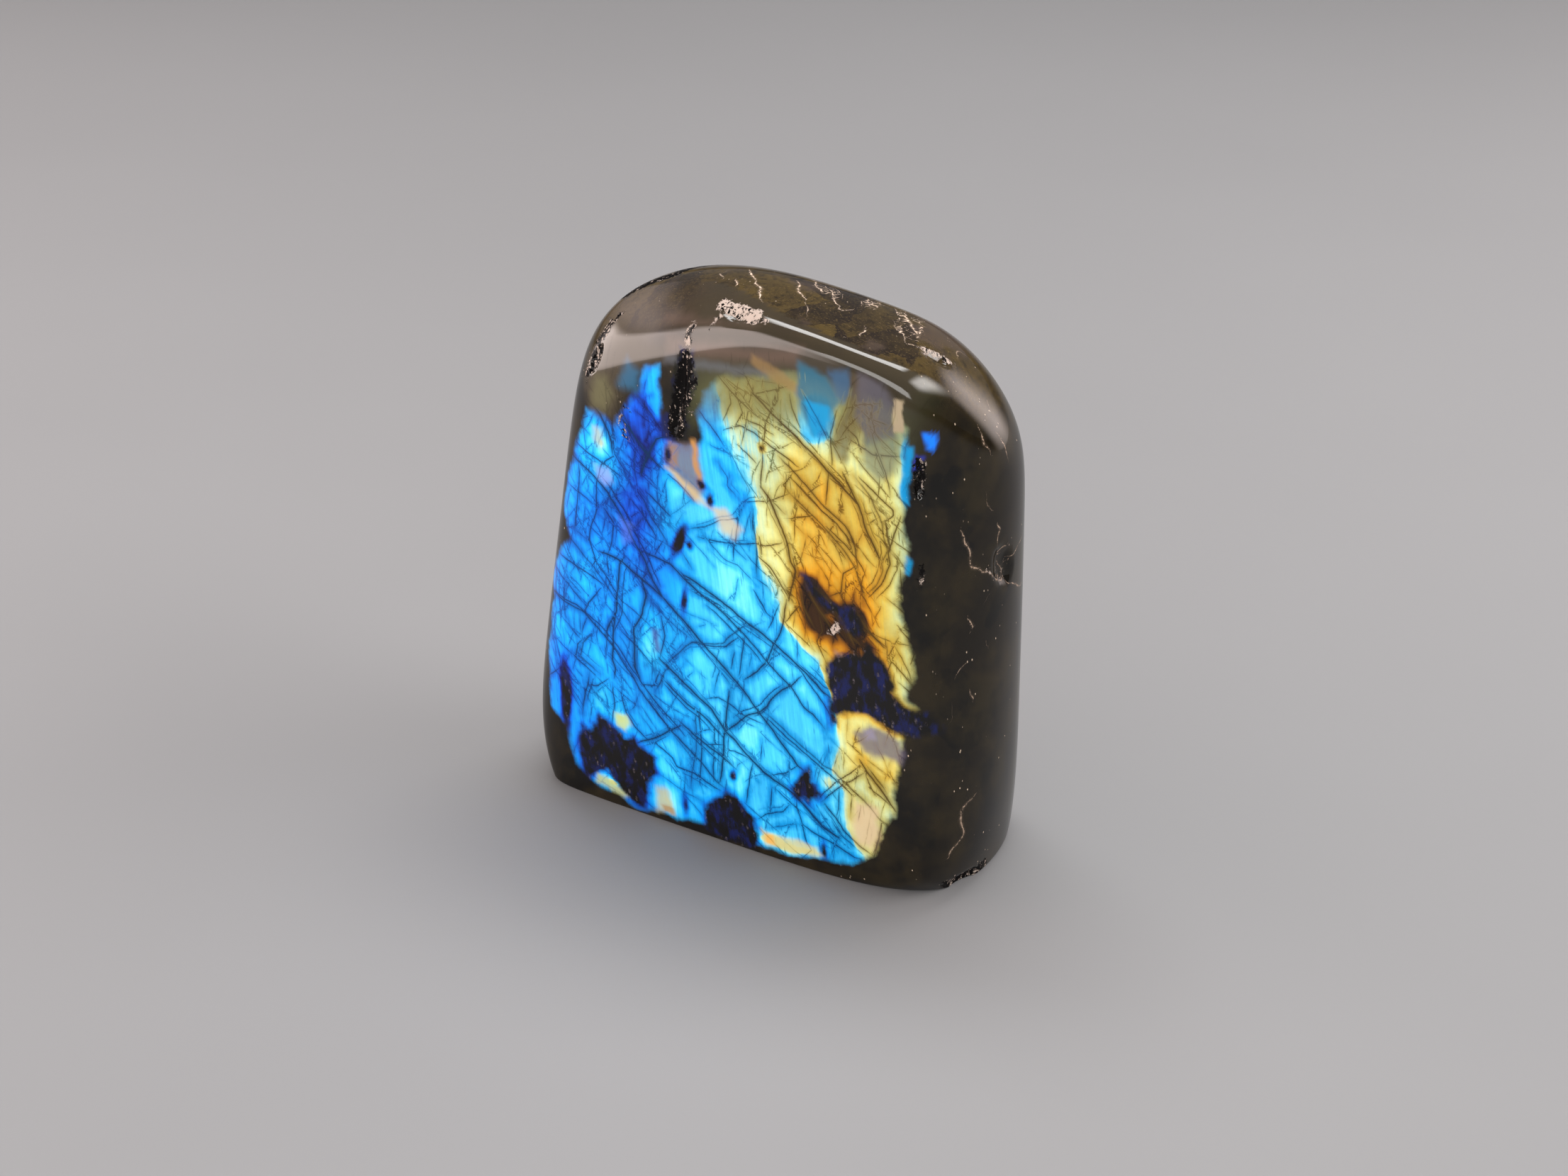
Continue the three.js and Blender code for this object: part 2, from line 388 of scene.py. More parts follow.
# x, z, half width, half height in mm, change of the colour's order
ORDER_SPOTS = [
    (3, 76, 6, 10, -0.07), (12, 84, 8, 6, -0.06), (-16.5, 77, 4, 8, -0.22), (-18, 60, 4, 9, -0.17), (-27, 57, 6, 6, -0.08), (-36, 42, 4, 9, -0.03),
    (-35, 22, 3, 8, -0.12), (-13, 50, 3, 6, -0.08), (-24, 40, 6, 10, -0.06), (-3, 50, 9, 10, 0.02),
    (-8, 64, 5, 5, 0.05), (-25.3, 71.5, 2, 2, 0.16), (-24.5, 65.5, 2.5, 2.2, 0.1), (-22, 18, 1.4, 1.4, 0.2),
    (-24.5, 3.8, 3, 1.4, 0.2), (-12.5, 4, 2.4, 2.4, 0.16), (21.3, 19.5, 2.6, 2.2, 0.12), (10.5, 3.8, 4, 1.6, 0.22),
    (17, 4.2, 3, 1.2, 0.15), (-15.5, 34.5, 3, 3.4, 0.09), (-27, 21, 2, 3.5, 0.06), (24, 14, 3, 4, 0.09),
    (7, 86, 6, 5, 0.02), (17, 52.5, 3, 4.4, 0.24), (20.5, 48.5, 5, 3, 0.24),
    (25.5, 51.5, 3, 4.8, 0.25), (19, 55.5, 5, 4, 0.12), (28.5, 47.5, 3.4, 2.4, 0.14),
    (-0.5, 27, 5, 7, 0.02), (9, 30, 8, 10, 0.02), (1, 62.5, 2.6, 2.4, 0.12), (17.5, 86.5, 2.6, 4, -0.24),
    (33.6, 77, 0.7, 2, -0.2), (34.6, 64, 0.5, 0.9, -0.24), (33.5, 83, 0.8, 3, -0.2), (10.5, 55, 2.4, 4, -0.07),
]

# %% [markdown]
# Some patches keep out of the order of colours: lavender and peach where the layers are bent, grey and
# blue panes near the crest that glow only a little, and a beige flake. Four pinkish-grey strips along the
# brow are painted reflection: the sheen of a soft lamp, laid into the colour. They are drawn as outlines
# too, each with its own colour, how much it covers and how softly it ends.

# %% Patches on the front
# outline in mm, colour, cover, softness in mm
PATCHES = [
    ("-7 80, -1 82, 8 82, 16 84, 33 84, 35 100, -8 100", (0.28, 0.29, 0.18), 0.6, 4),
    ("-5 85, -1 90, 6 93, 12 92.5, 15 88, 12 85, 4 84, -2 83", (0.36, 0.35, 0.22), 0.45, 2.5),
    ("-12 90, 0 91.5, 12 93, 34 91, 34 102, -12 102", (0.19, 0.16, 0.13), 0.85, 2.5),
    ("-6 88, 12 92, 30 90, 33 86, 34 96, -6 98", (0.22, 0.20, 0.16), 0.5, 3),
    # Painted reflection: this strip and the next three are the pinkish-grey sheen of a soft lamp on the brow, painted
    # into the colour
    ("-27 87, -16 89, -12 96, -22 98, -27 94", (0.40, 0.37, 0.36), 0.5, 3),
    ("-12 93, 2 95, 14 97, 14 94.5, 0 92.5, -12 90.5", (0.36, 0.29, 0.25), 0.6, 1.3),
    ("-12 90.4, 8 92.4, 8 91, -12 89", (0.33, 0.34, 0.36), 0.6, 0.8),
    ("-14 96, -2 98, 6 98.6, -3 97, -14 94.6", (0.33, 0.27, 0.24), 0.5, 0.8),
    ("-28 77, -22 76, -21 82, -16 88, -13 89, -11 92, -26 92, -30 84", (0.24, 0.21, 0.16), 0.85, 2),
    ("-27 78, -24 77.5, -22.5 81, -24 84, -27 83", (0.38, 0.37, 0.26), 0.6, 1.5),
    ("-21.5 83, -18 82.5, -17 86, -20 87.5", (0.15, 0.38, 0.52), 0.6, 1.2),
    ("5 94.5, 8 93.8, 14 91, 15 89, 9 91, 5 92.8", (0.50, 0.40, 0.25), 0.6, 0.6),
    ("14 95, 19 94, 21.5 90, 20 87.5, 17 83, 15.3 86, 13.6 90", (0.16, 0.36, 0.45), 0.85, 0.8),
    ("15.4 88.8, 19.6 88.6, 20.2 86.6, 17.4 82.8, 16 85", (0.05, 0.52, 0.72), 0.85, 0.5),
    ("19.5 95, 23 95.6, 24 92, 22 90, 20.5 91", (0.20, 0.33, 0.45), 0.75, 0.8),
    ("21 80, 23 80, 26 88, 26.5 95, 24 95, 22.5 88, 20.2 83", (0.30, 0.25, 0.17), 0.7, 0.8),
    ("25 95.5, 29 95, 31 92, 31.5 86, 26.5 84, 24.5 88", (0.30, 0.29, 0.32), 0.85, 0.8),
    ("25.5 85, 31.8 86, 32 80, 29 78, 26 80", (0.32, 0.38, 0.36), 0.7, 1.2),
    ("30.9 92.6, 32.3 92.4, 32.9 87, 31 86.8", (0.60, 0.54, 0.44), 1, 0.2),
    ("33 85, 34.2 84.5, 34 75, 33 75.5", (0.02, 0.52, 0.75), 0.9, 0.4),
    ("34 66, 35 65, 35 62.5, 34.2 63", (0.03, 0.50, 0.70), 0.85, 0.4),
    ("35.4 86.8, 36.9 86.2, 36.6 83.6, 35.6 84", (0.08, 0.45, 0.92), 1, 0.35),
    ("34.6 83.2, 35.5 82.6, 35.3 80.4, 34.5 81", (0.14, 0.20, 0.60), 0.9, 0.4),
    ("-11 75.5, -8.5 75.8, -5.2 76.5, -4.4 71, -4.2 67.5, -6 66, -9 68, -11.6 70.5, -12 73", (0.40, 0.36, 0.38), 0.85, 0.9),
    ("-6.8 77, -5.6 77, -4.8 70.5, -5.2 68.6, -6 72", (0.68, 0.49, 0.26), 0.9, 0.5),
    ("-10.8 75.4, -9.6 75, -9.2 71.5, -10.6 70, -11.2 72", (0.52, 0.40, 0.31), 0.8, 0.5),
    ("-11.8 70.4, -9 68.2, -5 65.8, -3 65, -5 67.2, -9 69.6", (0.74, 0.66, 0.48), 0.8, 0.7),
    ("-3 65.4, 0.5 65.6, 3.2 63, 2 60.4, -0.5 61.5, -2 63.6", (0.72, 0.66, 0.53), 0.8, 0.9),
    ("-26.6 67, -23.6 67.2, -22.8 65, -24.6 63.8, -26.4 65", (0.47, 0.55, 0.80), 0.8, 0.7),
    ("-26.8 74.2, -25 74, -24.6 71, -26 70.4, -27.2 72", (0.62, 0.66, 0.60), 0.8, 0.8),
    ("-21.5 58.5, -19 58, -18.6 54.5, -20.6 54", (0.28, 0.42, 0.80), 0.6, 0.8),
    ("-15.2 38.5, -13.6 38.6, -13.2 35, -14.6 34.2", (0.25, 0.22, 0.50), 0.75, 0.7),
    ("-23.6 19.5, -21 19.6, -20 17.8, -21.2 16.4, -23.2 16.8", (0.66, 0.73, 0.50), 0.9, 0.6),
    ("26 31, 28.5 33, 31.5 32.8, 34.6 31.6, 35.3 29, 34.8 27.3, 32 28, 29.8 27, 28 28", (0.36, 0.33, 0.40), 0.85, 0.9),
    ("27.5 32, 29.5 32.6, 30 30.6, 28.2 30", (0.52, 0.50, 0.60), 0.6, 0.6),
    ("22 45, 26 45.4, 26 42.4, 23 41.2, 21.6 42.8", (0.40, 0.37, 0.42), 0.75, 0.8),
    ("26.4 17.6, 30.8 17.4, 31 12, 29.8 8.8, 27 9.6, 26 13", (0.74, 0.66, 0.53), 0.9, 1),
    ("-27.5 5.6, -24 4.6, -21 3.6, -19.5 2.6, -22 2.2, -27.6 3.4", (0.64, 0.66, 0.40), 0.85, 0.6),
    ("-14.6 6.6, -12.5 7, -11.2 4.6, -10.6 2.4, -14.6 2", (0.66, 0.64, 0.48), 0.8, 0.8),
    ("-13.6 3.4, -10.6 3.6, -10.4 2, -13.4 2", (0.58, 0.42, 0.18), 0.7, 0.4),
    ("7.2 5.6, 9 4.8, 13 5.6, 19 5.6, 20 4, 14 2.8, 8 3", (0.74, 0.72, 0.50), 0.85, 0.6),
    ("8 5, 10 4.8, 10.6 3, 8.4 3", (0.85, 0.62, 0.28), 0.8, 0.5),
]
print(len(PATCHES), "patches")

# %% Cracks on the front
STRONG_CRACKS = drawn("""
-32 67.3, -28 65.6, -24 62.6, -21.5 59.7, -19.3 56.7, -18 54.2, -16.5 52.2, -15.5 49.8, -14.5 48, -12.3 45.3
-26 50.8, -24 50.7, -21 50, -17 47.8, -13 45.8, -10 43.3, -6.5 40.7, -4 38.8, -1 36.2, 2 33.6, 4 31.8, 7 29, 10 26.3, 12 24, 15 20.8, 16 20.3
-34 51.8, -30.8 50.2, -28 47.8, -25 44.8, -22.5 42.2, -20.3 39.2, -19 38
-8.5 51.2, -5 50.2, -1 48.4, 1.5 47.3, 4.3 45.6, 7.5 44.5, 10.2 43.2, 13.5 41.2, 16 39.5, 20 36.6, 21 36.2
-17 53.5, -15 53, -11 52.4, -8 50.3, -4 48.1, 0 46, 3 43.8, 6 41.4, 8.5 39.3, 10.5 37.9, 13 36.2, 14 35, 16 32.8, 18 32, 20 30
-39 38, -37 38.8, -33 38.2, -29.5 37.7, -26.5 35.5, -23.5 32.8, -20 29, -18 25.8, -16 24, -14 22.3, -11.5 19.4, -8 17, -5 15, -1.5 12, 0 11.3
-13.5 33.5, -10 31.2, -6 28.5, -3 26.5, 0 23.2, 2 22, 4 20, 5.5 18.9, 10 16.4, 14 15, 17 12.8, 20 10.2, 23.3 9
4.3 45.5, 3 44, 1.7 42.7, 0.5 41.5, -0.2 40.3, -1.5 39.8, -3.5 39.3, -6.5 38.7, -8 37.5, -11 34, -12.2 32.3
15.5 38.3, 13.2 36.2, 11.5 35, 9.5 32.3, 8.7 30.8, 6.5 28.8, 5 28, 3 25.8, 1 24, 0 23.3
12.3 52, 11.6 48, 10.8 44.8, 9.5 41.8, 8.5 39.3, 6.5 36.8, 4 34.6
8 29.6, 12 27.4, 16 24.8, 20 22.4, 22 22.3, 24.2 20.7, 27.7 18.5, 31 15.7, 33.5 14.5
27 26, 29 23.5, 31.3 21, 33 19, 34 18
28 24, 26 22, 24 20.3, 21 17, 19.8 15.2
20 15.5, 22.5 13, 24.2 10.7, 28 8.6, 30 7.8
31.6 15, 30.8 10.5, 30.3 8.5
-17 64.5, -15.5 61.5, -13.5 58.8, -12 56.5, -11 56
-11.5 76, -13.5 75, -15.2 72, -16.3 69, -16.8 67.8
-21 77.5, -19 75.3, -17.2 73.2, -15 71.6, -12 69.8
5.7 67, 5.5 65, 6.2 62, 6.5 59.3, 6.2 54.8
7.2 71.5, 8.8 70, 10 67.5, 11.3 64.8, 12.2 62.5, 13 59.5, 14 58.2, 13.6 56, 12.8 52
12 72, 15 70.5, 19 67.7, 22 65.2, 25.3 61.5, 27 57.5, 26.8 56
15.5 57, 18 53, 20.5 49.5
16.5 57, 20 54.5, 24 50, 25.5 47.5
23 53, 24.5 49.5, 27.5 47
25.5 53.8, 28 51, 31 48.5
14.8 55.5, 15.6 52, 17.8 48.6
10.5 78, 13.2 76, 16 74, 18.5 71.8, 23.2 68.9, 24.2 67.5, 25.3 64.5, 25.4 63, 26 61
22.5 78, 25.7 73, 27 69.5, 29 65.8, 29.8 64.5
24.5 78, 27.8 75.2, 30.1 71, 30.5 67.5, 31.1 66.3, 30.1 63.8, 30.3 62.7, 29.1 59.6, 27 57
-20.5 51, -21.5 49.5, -22.6 42, -22.7 40, -24.8 34.5
-22.7 39.5, -23.2 35, -23.7 30, -23 28.5, -23.5 26.5
-27 34.7, -30 31.8, -30.5 28.5, -26.5 26.3
-16.9 47.5, -16.2 44.6, -17.5 40.5, -19 38, -19 34, -18.8 30, -18 28
-12 32, -13.6 28.5, -14.5 26.5
-13 29.6, -10.5 27.8, -8 26.2, -4 24.2, 0 21.7
0.8 31, 0.3 27, 0 24, -0.3 18, -1 12.5
-6 26, -6.3 23, -5.9 20, -6.3 16, -7.3 9
-9.5 21, -11.5 19.3, -15 16.8, -18.3 14.8
-10 22, -7 20.3, -4 19.2, -1 18, 2.2 16
-28.8 26, -29.2 24, -30 21.5, -30.3 17
5 88, 10 84.5, 14 81.5, 18 79, 22 76, 25.7 73
25.7 95.9, 24.8 94.8, 24 93.8, 23.5 91.3, 22.9 89.2, 21.7 86.5, 20.6 83
14.6 90.5, 16.4 87.7, 18.3 84.8, 19.6 83.1
-27.2 77.7, -25.3 76.7, -23.7 74.3, -22.8 71.9, -22.6 70.2
-22.3 84.3, -21.3 81.3, -20.4 78.2, -18.9 75.5, -17.2 73.1, -16.1 71.8
""")
FINE_CRACKS = drawn("""
14.5 41, 16 40, 18 39, 20 37.8, 21.3 37.8
-8 50.4, -5 48.6, -3 48, 0 47
6.2 45, 5.5 44.3, 3.7 43.4
5.5 52, 7.5 49.5, 8.3 48.4, 9 48
11.8 42, 9 39.7
14.5 46, 14.6 42, 14.7 40.5
14.5 40.3, 17 37.5, 20 34.5, 21 33
23.8 11, 22.8 8, 21.8 5.2, 21.2 4
14.6 14, 14.7 12.5, 16 9, 16.8 6, 17.8 4.5, 16 2.3
7 7.5, 8.5 8.9, 12 10.5, 13.3 12.5
15.7 9.5, 12.5 8, 9 6.2
15.8 9.5, 18.5 8.2, 23 7.2, 26.5 6, 27.5 6.1
6.5 6, 9.5 4, 11 2.5
10 15, 12 13.7, 14.8 12.2, 16 11.8
14.8 20.8, 12 18.2, 9.3 17
4.7 18.5, 2.7 16.8, 1.8 15
0 19.2, 2 19.5, 5.5 18.8
23.3 19, 23.1 15, 22.6 13
25.9 19.3, 25.5 14
27.4 17, 27.2 14
23 26, 22.3 23.8, 22 22.3
28 24, 28.7 22, 29.8 20
28.8 21, 30.5 20.2, 33 18.8
18.5 17.5, 19 20.5, 20.2 24, 21 25.5
-31 69.8, -27 68.6, -24.5 67.6, -21 66.2
-34 61.4, -30 60.6, -26.5 59.3
-27.2 77.3, -25.5 76.6, -23 73, -22 70, -20 67.5, -18.5 66.5
-22 70, -25.3 67.5, -26.5 63.5, -26.3 58.5, -27.8 54.5, -28 52.5, -26.8 48.7, -27.8 47.3
-20 64, -24 61.2, -26.3 58.7
-22.7 78, -22.6 74, -22.3 71
-30.3 66.5, -30.5 63, -31.5 53
-32 53.5, -28 52.4
-24.7 59.5, -22.8 57, -23.3 53, -24 51
-22.5 56.7, -18.5 55.7
-18 67, -18.2 70, -18 72.5
-16 64.8, -13 63.2, -11 61.5
-15.5 61.5, -18 57.8, -19 56.5
-12.7 56.3, -14.3 53.3
-8.5 55.2, -6.8 52.8
-7.5 60, -4 61.3, -1 63.3, 2.5 64.8, 3 65.5, 4 67.8, 7 68.8, 9 69.5, 13 72
-11 69.2, -9 68, -6 65.8
-4.8 60.5, -2 58, 0 56.3, 2.5 55.9, 5.2 54, 6 53
-5 59.2, 0 59.3, 4 60.4, 6 61.2, 8 61.1, 11 62.6
4 67.8, 2.7 65, 2.1 61.5, 1.6 58, 1.6 56.5
-1.5 74, 0.8 71.5, 0.5 70, 3 68
6.5 59, 9 57.4, 10.8 55, 12.8 52.5
5.5 54.7, 8.3 53.5, 9 52.5
8.8 70, 11.7 68
7.4 78, 7.2 71.5
0 78, 1.3 76, 2.5 74, 3.8 72, 4.9 70.2, 4 68
2.5 78, 6 75.9
13.1 76, 11.2 73, 12.3 72
12.9 67.3, 15.6 65
12.9 67.3, 16.8 69
16 65.1, 15.2 61
16 65.1, 17.7 64, 17.8 62.5
25.5 78, 30 74.8, 31.8 73.5, 31.9 72.5, 30.3 71.2
27 69.5, 25.5 65.8, 25.2 64.5
33 72.5, 32 69, 31.2 66, 31.6 64, 30 60, 28 57.3
27 70, 29.5 72
26.3 71.7, 29 72.9
19.9 78, 19.5 72
21 70.5, 20.8 67.5
25.5 62, 23 60, 22.9 56.5, 23.1 54.5
20.8 55.3, 23 56.5
25.8 59, 24.5 54
26 51.8, 30 49.5, 31.3 48.8
31.5 49.3, 31.5 46
18.2 52, 19.2 48.5, 18.3 46, 20 42.5
15 52, 12 48
16.2 52, 16 45
-36 47, -32.5 46.8, -28.5 45.5, -25 44.3
-38 43, -36.5 43.5, -33 42.2, -29.3 39.3
-34 43, -34.6 39, -34 35.8, -33 34.7
-26 43.5, -28.5 39.8, -29.3 38
-38 30, -36.5 30.4, -31.5 28.3
-33 34, -30.5 32.3
-29 36.7, -30 33.8
-26 31.8, -22 28.5
-24.3 51, -24.1 46.5
-23.8 45, -22.7 48
-22 42.8, -18.5 41.2, -15 38.8
-15.6 49.5, -17 47.6
-16.2 44.5, -13 42.3, -10 40.5, -6.5 39
-13.3 41.8, -12.4 38, -13.4 33.7
-22 36.9, -18.5 34.2, -15.3 32
-13.5 33.5, -16.5 31
-14 27.8, -17.5 27
-1 36, -2 31.5, -2.1 30
-4 28, -1.5 29.4, 1 28.8, 4 27.6, 8 27
3.8 43, 2.8 35
5.3 41, 4.8 36
1.8 39, 1 36
11 51, 8.3 45
7.8 24, 7.2 18.5
5.8 18.3, 5 14, 4.4 10
13.2 22.5, 12.8 17
9.8 15, 9.2 10
-2 24, -2.4 15, -2.3 12
-8.2 12.5, -8.7 7, -8.5 5
0 20.2, -4 19.2
-2 22.8, -6 20.8
-13 22.2, -10 22
-15 16, -11 14, -10 12.7, -6.5 12.3, -1 10.5
-14.5 10, -8.3 7.8, -4.8 7
-29.3 23.5, -27 23.8, -25 25.7
-24 25.2, -23.5 21, -24 16.5
-24 25, -22.5 24, -20 22.8, -18 22.3
-22.3 24, -21 20, -19 17.7, -16 15.8
-18 25, -19 22, -20.5 20.3
-35.5 24.5, -39 21.5
0 80, 3 81.5, 6 81, 10 79, 14 77
7 90, 9 86, 10 84.5
21 88, 20 84, 20.5 79
26 91, 28 85, 30 80, 31 76
-5.8 83.3, -1.1 78.5, 0.3 76.7
-1.5 89.2, 2.5 86, 5.7 84.3
0.6 90.9, 6.1 90.1, 11.5 90.8
3.3 91.1, 5.7 87.6, 9.3 86
10.1 91.1, 10.2 87.8, 8 83.2
-17.2 81.8, -15.4 80.2, -13.7 78.6, -12.6 76.8
-12.6 85.6, -11.4 83.7, -10.6 82.1
-25.4 81.5, -24 78.9
24.5 90, 27 88.4, 31 88
24 84, 28 82.5, 32 83
27 93, 27.6 88, 26.2 83
0.7 87.3, 1.2 84.9, -0.2 81.7
2.4 89.7, 2.1 86.8, 3.5 83.8, 1.7 80.8
5.9 90.1, 4.8 86.2, 4 81.4, 3.1 77.4
10.1 90.3, 9.3 86.8, 8 82.4, 7.8 79
-1.2 89.7, 3.4 86.7, 6.2 84, 10.3 82.9, 13.4 81.6, 15.7 79.7
4.8 87.4, 9.3 89.3, 12.4 90.8
3.5 83, 7.1 82.6, 9.4 81.5
9.3 86, 12.5 83.9, 16.1 81.9, 17 80
12.4 89.2, 13.4 86.1, 14.3 83.9
25.5 89, 23.5 86.5, 21.4 83.1
27.8 92.7, 27.2 89.3, 28.1 86.3, 29.8 84.2
22.9 89.2, 25.5 90.6, 28.7 91.3
25.6 86.6, 28.1 87.5, 30.9 87.7
22.2 86.2, 24.8 84.8, 25.7 82.5
""")
print("there are", len(STRONG_CRACKS), "strong cracks and", len(FINE_CRACKS), "fine ones")


# %% [markdown]
# Few of these cracks are alone. Most have a thinner one or two running beside them, and between the
# cracks that can be followed lie many more that only give the flash its grain. Both come from a seeded
# draw. The loose ones keep to the three ways in which this stone splits: nearly upright, down to the
# right, and up to the right. They are thickest on the left, where the blue is deepest.

# %% Strands beside the strong cracks
random.seed(17)


def strand(line):
    """A part of a line, moved sideways a little, and turned a little about its middle."""
    lengths = np.concatenate([[0], np.cumsum(np.linalg.norm(np.diff(line, axis=0), axis=1))])
    first = random.uniform(0, 0.4) * lengths[-1]
    last = random.uniform(0.6, 1) * lengths[-1]
    stations = np.linspace(first, last, 7)
    part = np.array([np.interp(stations, lengths, line[:, axis]) for axis in (0, 1)]).T
    way = (part[-1] - part[0]) / np.linalg.norm(part[-1] - part[0])
    sideways = np.array([-way[1], way[0]]) * random.choice((-1, 1))
    turn = random.gauss(0, 0.05)
    reach_out = random.uniform(0.5, 1.4) + np.linspace(-1, 1, 7) * turn * (last - first) / 2
    return part + sideways * reach_out[:, None]


STRANDS = [strand(line) for line in STRONG_CRACKS]
THIN_STRANDS = [strand(line) for line in STRONG_CRACKS + FINE_CRACKS if len(line) > 3]

# %% Hair cracks
# least and most x and z in mm, how many, and for each way in which the stone splits: its angle from
# level and the spread in degrees, its share, and the shortest and longest in mm
HAIR_FIELDS = [
    ((-40, 36), (2, 90), 380, [(83, 5, 0.45, 2, 9), (-38, 7, 0.35, 3, 13), (48, 10, 0.2, 2, 7)]),
    ((-40, -12), (22, 74), 150, [(82, 7, 0.3, 5, 15), (-40, 9, 0.4, 5, 16), (55, 12, 0.3, 4, 12)]),
    ((8, 35), (45, 84), 70, [(78, 9, 0.3, 3, 9), (-52, 9, 0.5, 4, 12), (20, 14, 0.2, 3, 7)]),
]
random.seed(29)


def hair_crack(across, upward, ways):
    share = random.random()
    for angle, spread, part, shortest, longest in ways:
        if share < part:
            break
        share -= part
    way = math.radians(random.gauss(angle, spread))
    place = np.array([random.uniform(*across), random.uniform(*upward)])
    line = [place]
    for _ in range(4):
        way += random.gauss(0, 0.1)
        place = place + np.array([math.cos(way), math.sin(way)]) * random.uniform(shortest, longest) / 4
        line.append(place)
    return np.array(line)


HAIR_CRACKS = [hair_crack(across, upward, ways) for across, upward, count, ways in HAIR_FIELDS for _ in range(count)]
print(len(STRANDS) + len(THIN_STRANDS), "strands and", len(HAIR_CRACKS), "hair cracks")


# %% [markdown]
# ## From the drawing to the mesh
#
# Each point of the mesh looks itself up on the map. Outlines give a distance in mm, positive inside.
# A crack is thinner than the gap between two points, so a plain distance to it would come out as a
# row of beads. The distance is wrapped round a circle instead, with the crack at one side and
# everything further than a millimetre at the other, and its cosine and sine are stored. Between two
# points that lie on either side of a crack, the pair still swings through the crack's own place.

# %% Looking up the map
LIMIT_MM = 6
CRACK_WRAP_MM = 0.9
NEAR_MM = 3
TAPER_MM = 2.5


def ruffled(flat, steps, seed):
    """Moves points of the map by noise: steps are pairs of a grain and an amount, both in mm."""
    moved = flat.copy()
    for grain, amount in steps:
        for i, (x, z) in enumerate(flat):
            push = field.noise_vector(Vector((x / grain, z / grain, seed)))
            moved[i] += np.array([push.x, push.y]) * amount
    return moved


def nearest_on_line(flat, line, limit):
    """Distance to a line, signed by the side, within a limit, and how far the nearest place is from an end."""
    found = np.full(len(flat), limit, float)
    from_end = np.zeros(len(flat))
    lengths = np.linalg.norm(np.diff(line, axis=0), axis=1)
    whole, passed = lengths.sum(), 0
    for start, end, length in zip(line[:-1], line[1:], lengths):
        low_corner, high_corner = np.minimum(start, end) - limit, np.maximum(start, end) + limit
        near = np.flatnonzero(((flat > low_corner) & (flat < high_corner)).all(1))
        step = end - start
        away = flat[near] - start
        along = np.clip(away @ step / (step @ step), 0, 1)
        rest = away - along[:, None] * step
        distance = np.hypot(rest[:, 0], rest[:, 1])
        side = np.where(step[0] * rest[:, 1] - step[1] * rest[:, 0] < 0, -1, 1)
        closer = distance < np.abs(found[near])
        found[near[closer]] = (side * distance)[closer]
        place = passed + along * length
        from_end[near[closer]] = np.minimum(place, whole - place)[closer]
        passed += length
    return found, from_end


def inside_by(flat, outlines):
    """How far each point lies inside the nearest of some closed outlines, negative outside."""
    best = np.full(len(flat), -LIMIT_MM, float)
    x, z = flat.T
    for outline in outlines:
        ring = np.vstack([outline, outline[:1]])
        distance = np.abs(nearest_on_line(flat, ring, LIMIT_MM)[0])
        within = np.zeros(len(flat), bool)
        for (x0, z0), (x1, z1) in zip(ring[:-1], ring[1:]):
            if z0 != z1:
                within ^= ((z0 > z) != (z1 > z)) & (x < (x1 - x0) * (z - z0) / (z1 - z0) + x0)
        best = np.maximum(best, np.where(within, distance, -distance))
    return best


def spot(flat, x, z, half_width, half_height, lean=0):
    """How many half widths a point lies from the middle of a spot."""
    lean = math.radians(lean)
    dx, dz = flat[:, 0] - x, flat[:, 1] - z
    across = dx * math.cos(lean) - dz * math.sin(lean)
    upward = dx * math.sin(lean) + dz * math.cos(lean)
    return np.hypot(across / half_width, upward / half_height)


def smooth(value, start, end):
    t = np.clip((value - start) / (end - start), 0, 1)
    return t * t * (3 - 2 * t)


def paint(red, green, blue):
    """A colour as the eye counts it, turned into the linear light that a shader counts."""
    return tuple(((c + 0.055) / 1.055) ** 2.4 if c > 0.04045 else c / 12.92 for c in (red, green, blue)) + (1,)


def patch_paint(flat, patches):
    """Lays the patches over each other: red, green and blue already weighed by the cover, and the cover."""
    laid = np.zeros((len(flat), 4))
    for outline, colour, cover, softness in patches:
        there = cover * smooth(inside_by(flat, drawn(outline)), -softness, softness)
        laid *= 1 - there[:, None]
        laid += there[:, None] * np.array(paint(*colour))
    return laid


# %% Map on the front
points_mm = np.array([vertex.co[:] for vertex in mesh.vertices]) / MM
outs = outward(points_mm)
front = np.flatnonzero((outs[:, 1] < -0.15) & (points_mm[:, 1] < -6))
flat = points_mm[front][:, [0, 2]]
loose = ruffled(flat, [(5, 0.9), (1.6, 0.35)], 3)
tight = ruffled(flat, [(5, 0.35), (1.1, 0.1)], 11)
values = {}


def keep(name, numbers, where, elsewhere=0.0):
    whole = np.full(len(points_mm), elsewhere, float)
    whole[where] = numbers
    values[name] = whole


def keep_cracks(name, flat, where, lines, wrap):
    nearest, strength = np.full(len(flat), NEAR_MM, float), np.zeros(len(flat))
    for number, line in enumerate(lines):
        distance, from_end = nearest_on_line(flat, line, NEAR_MM)
        closer = np.abs(distance) < np.abs(nearest)
        nearest[closer] = distance[closer]
        taper = 0.5 + 0.5 * smooth(from_end, 0, TAPER_MM)
        strength[closer] = ((0.72 + 0.28 * math.sin(number * 2.4)) * taper)[closer]
    turn = np.clip(nearest / wrap, -1, 1) * math.pi
    keep(name + "_cosine", np.cos(turn), where, -1)
    keep(name + "_sine", np.sin(turn), where)
    keep(name + "_strength", strength, where)
    return np.abs(nearest)


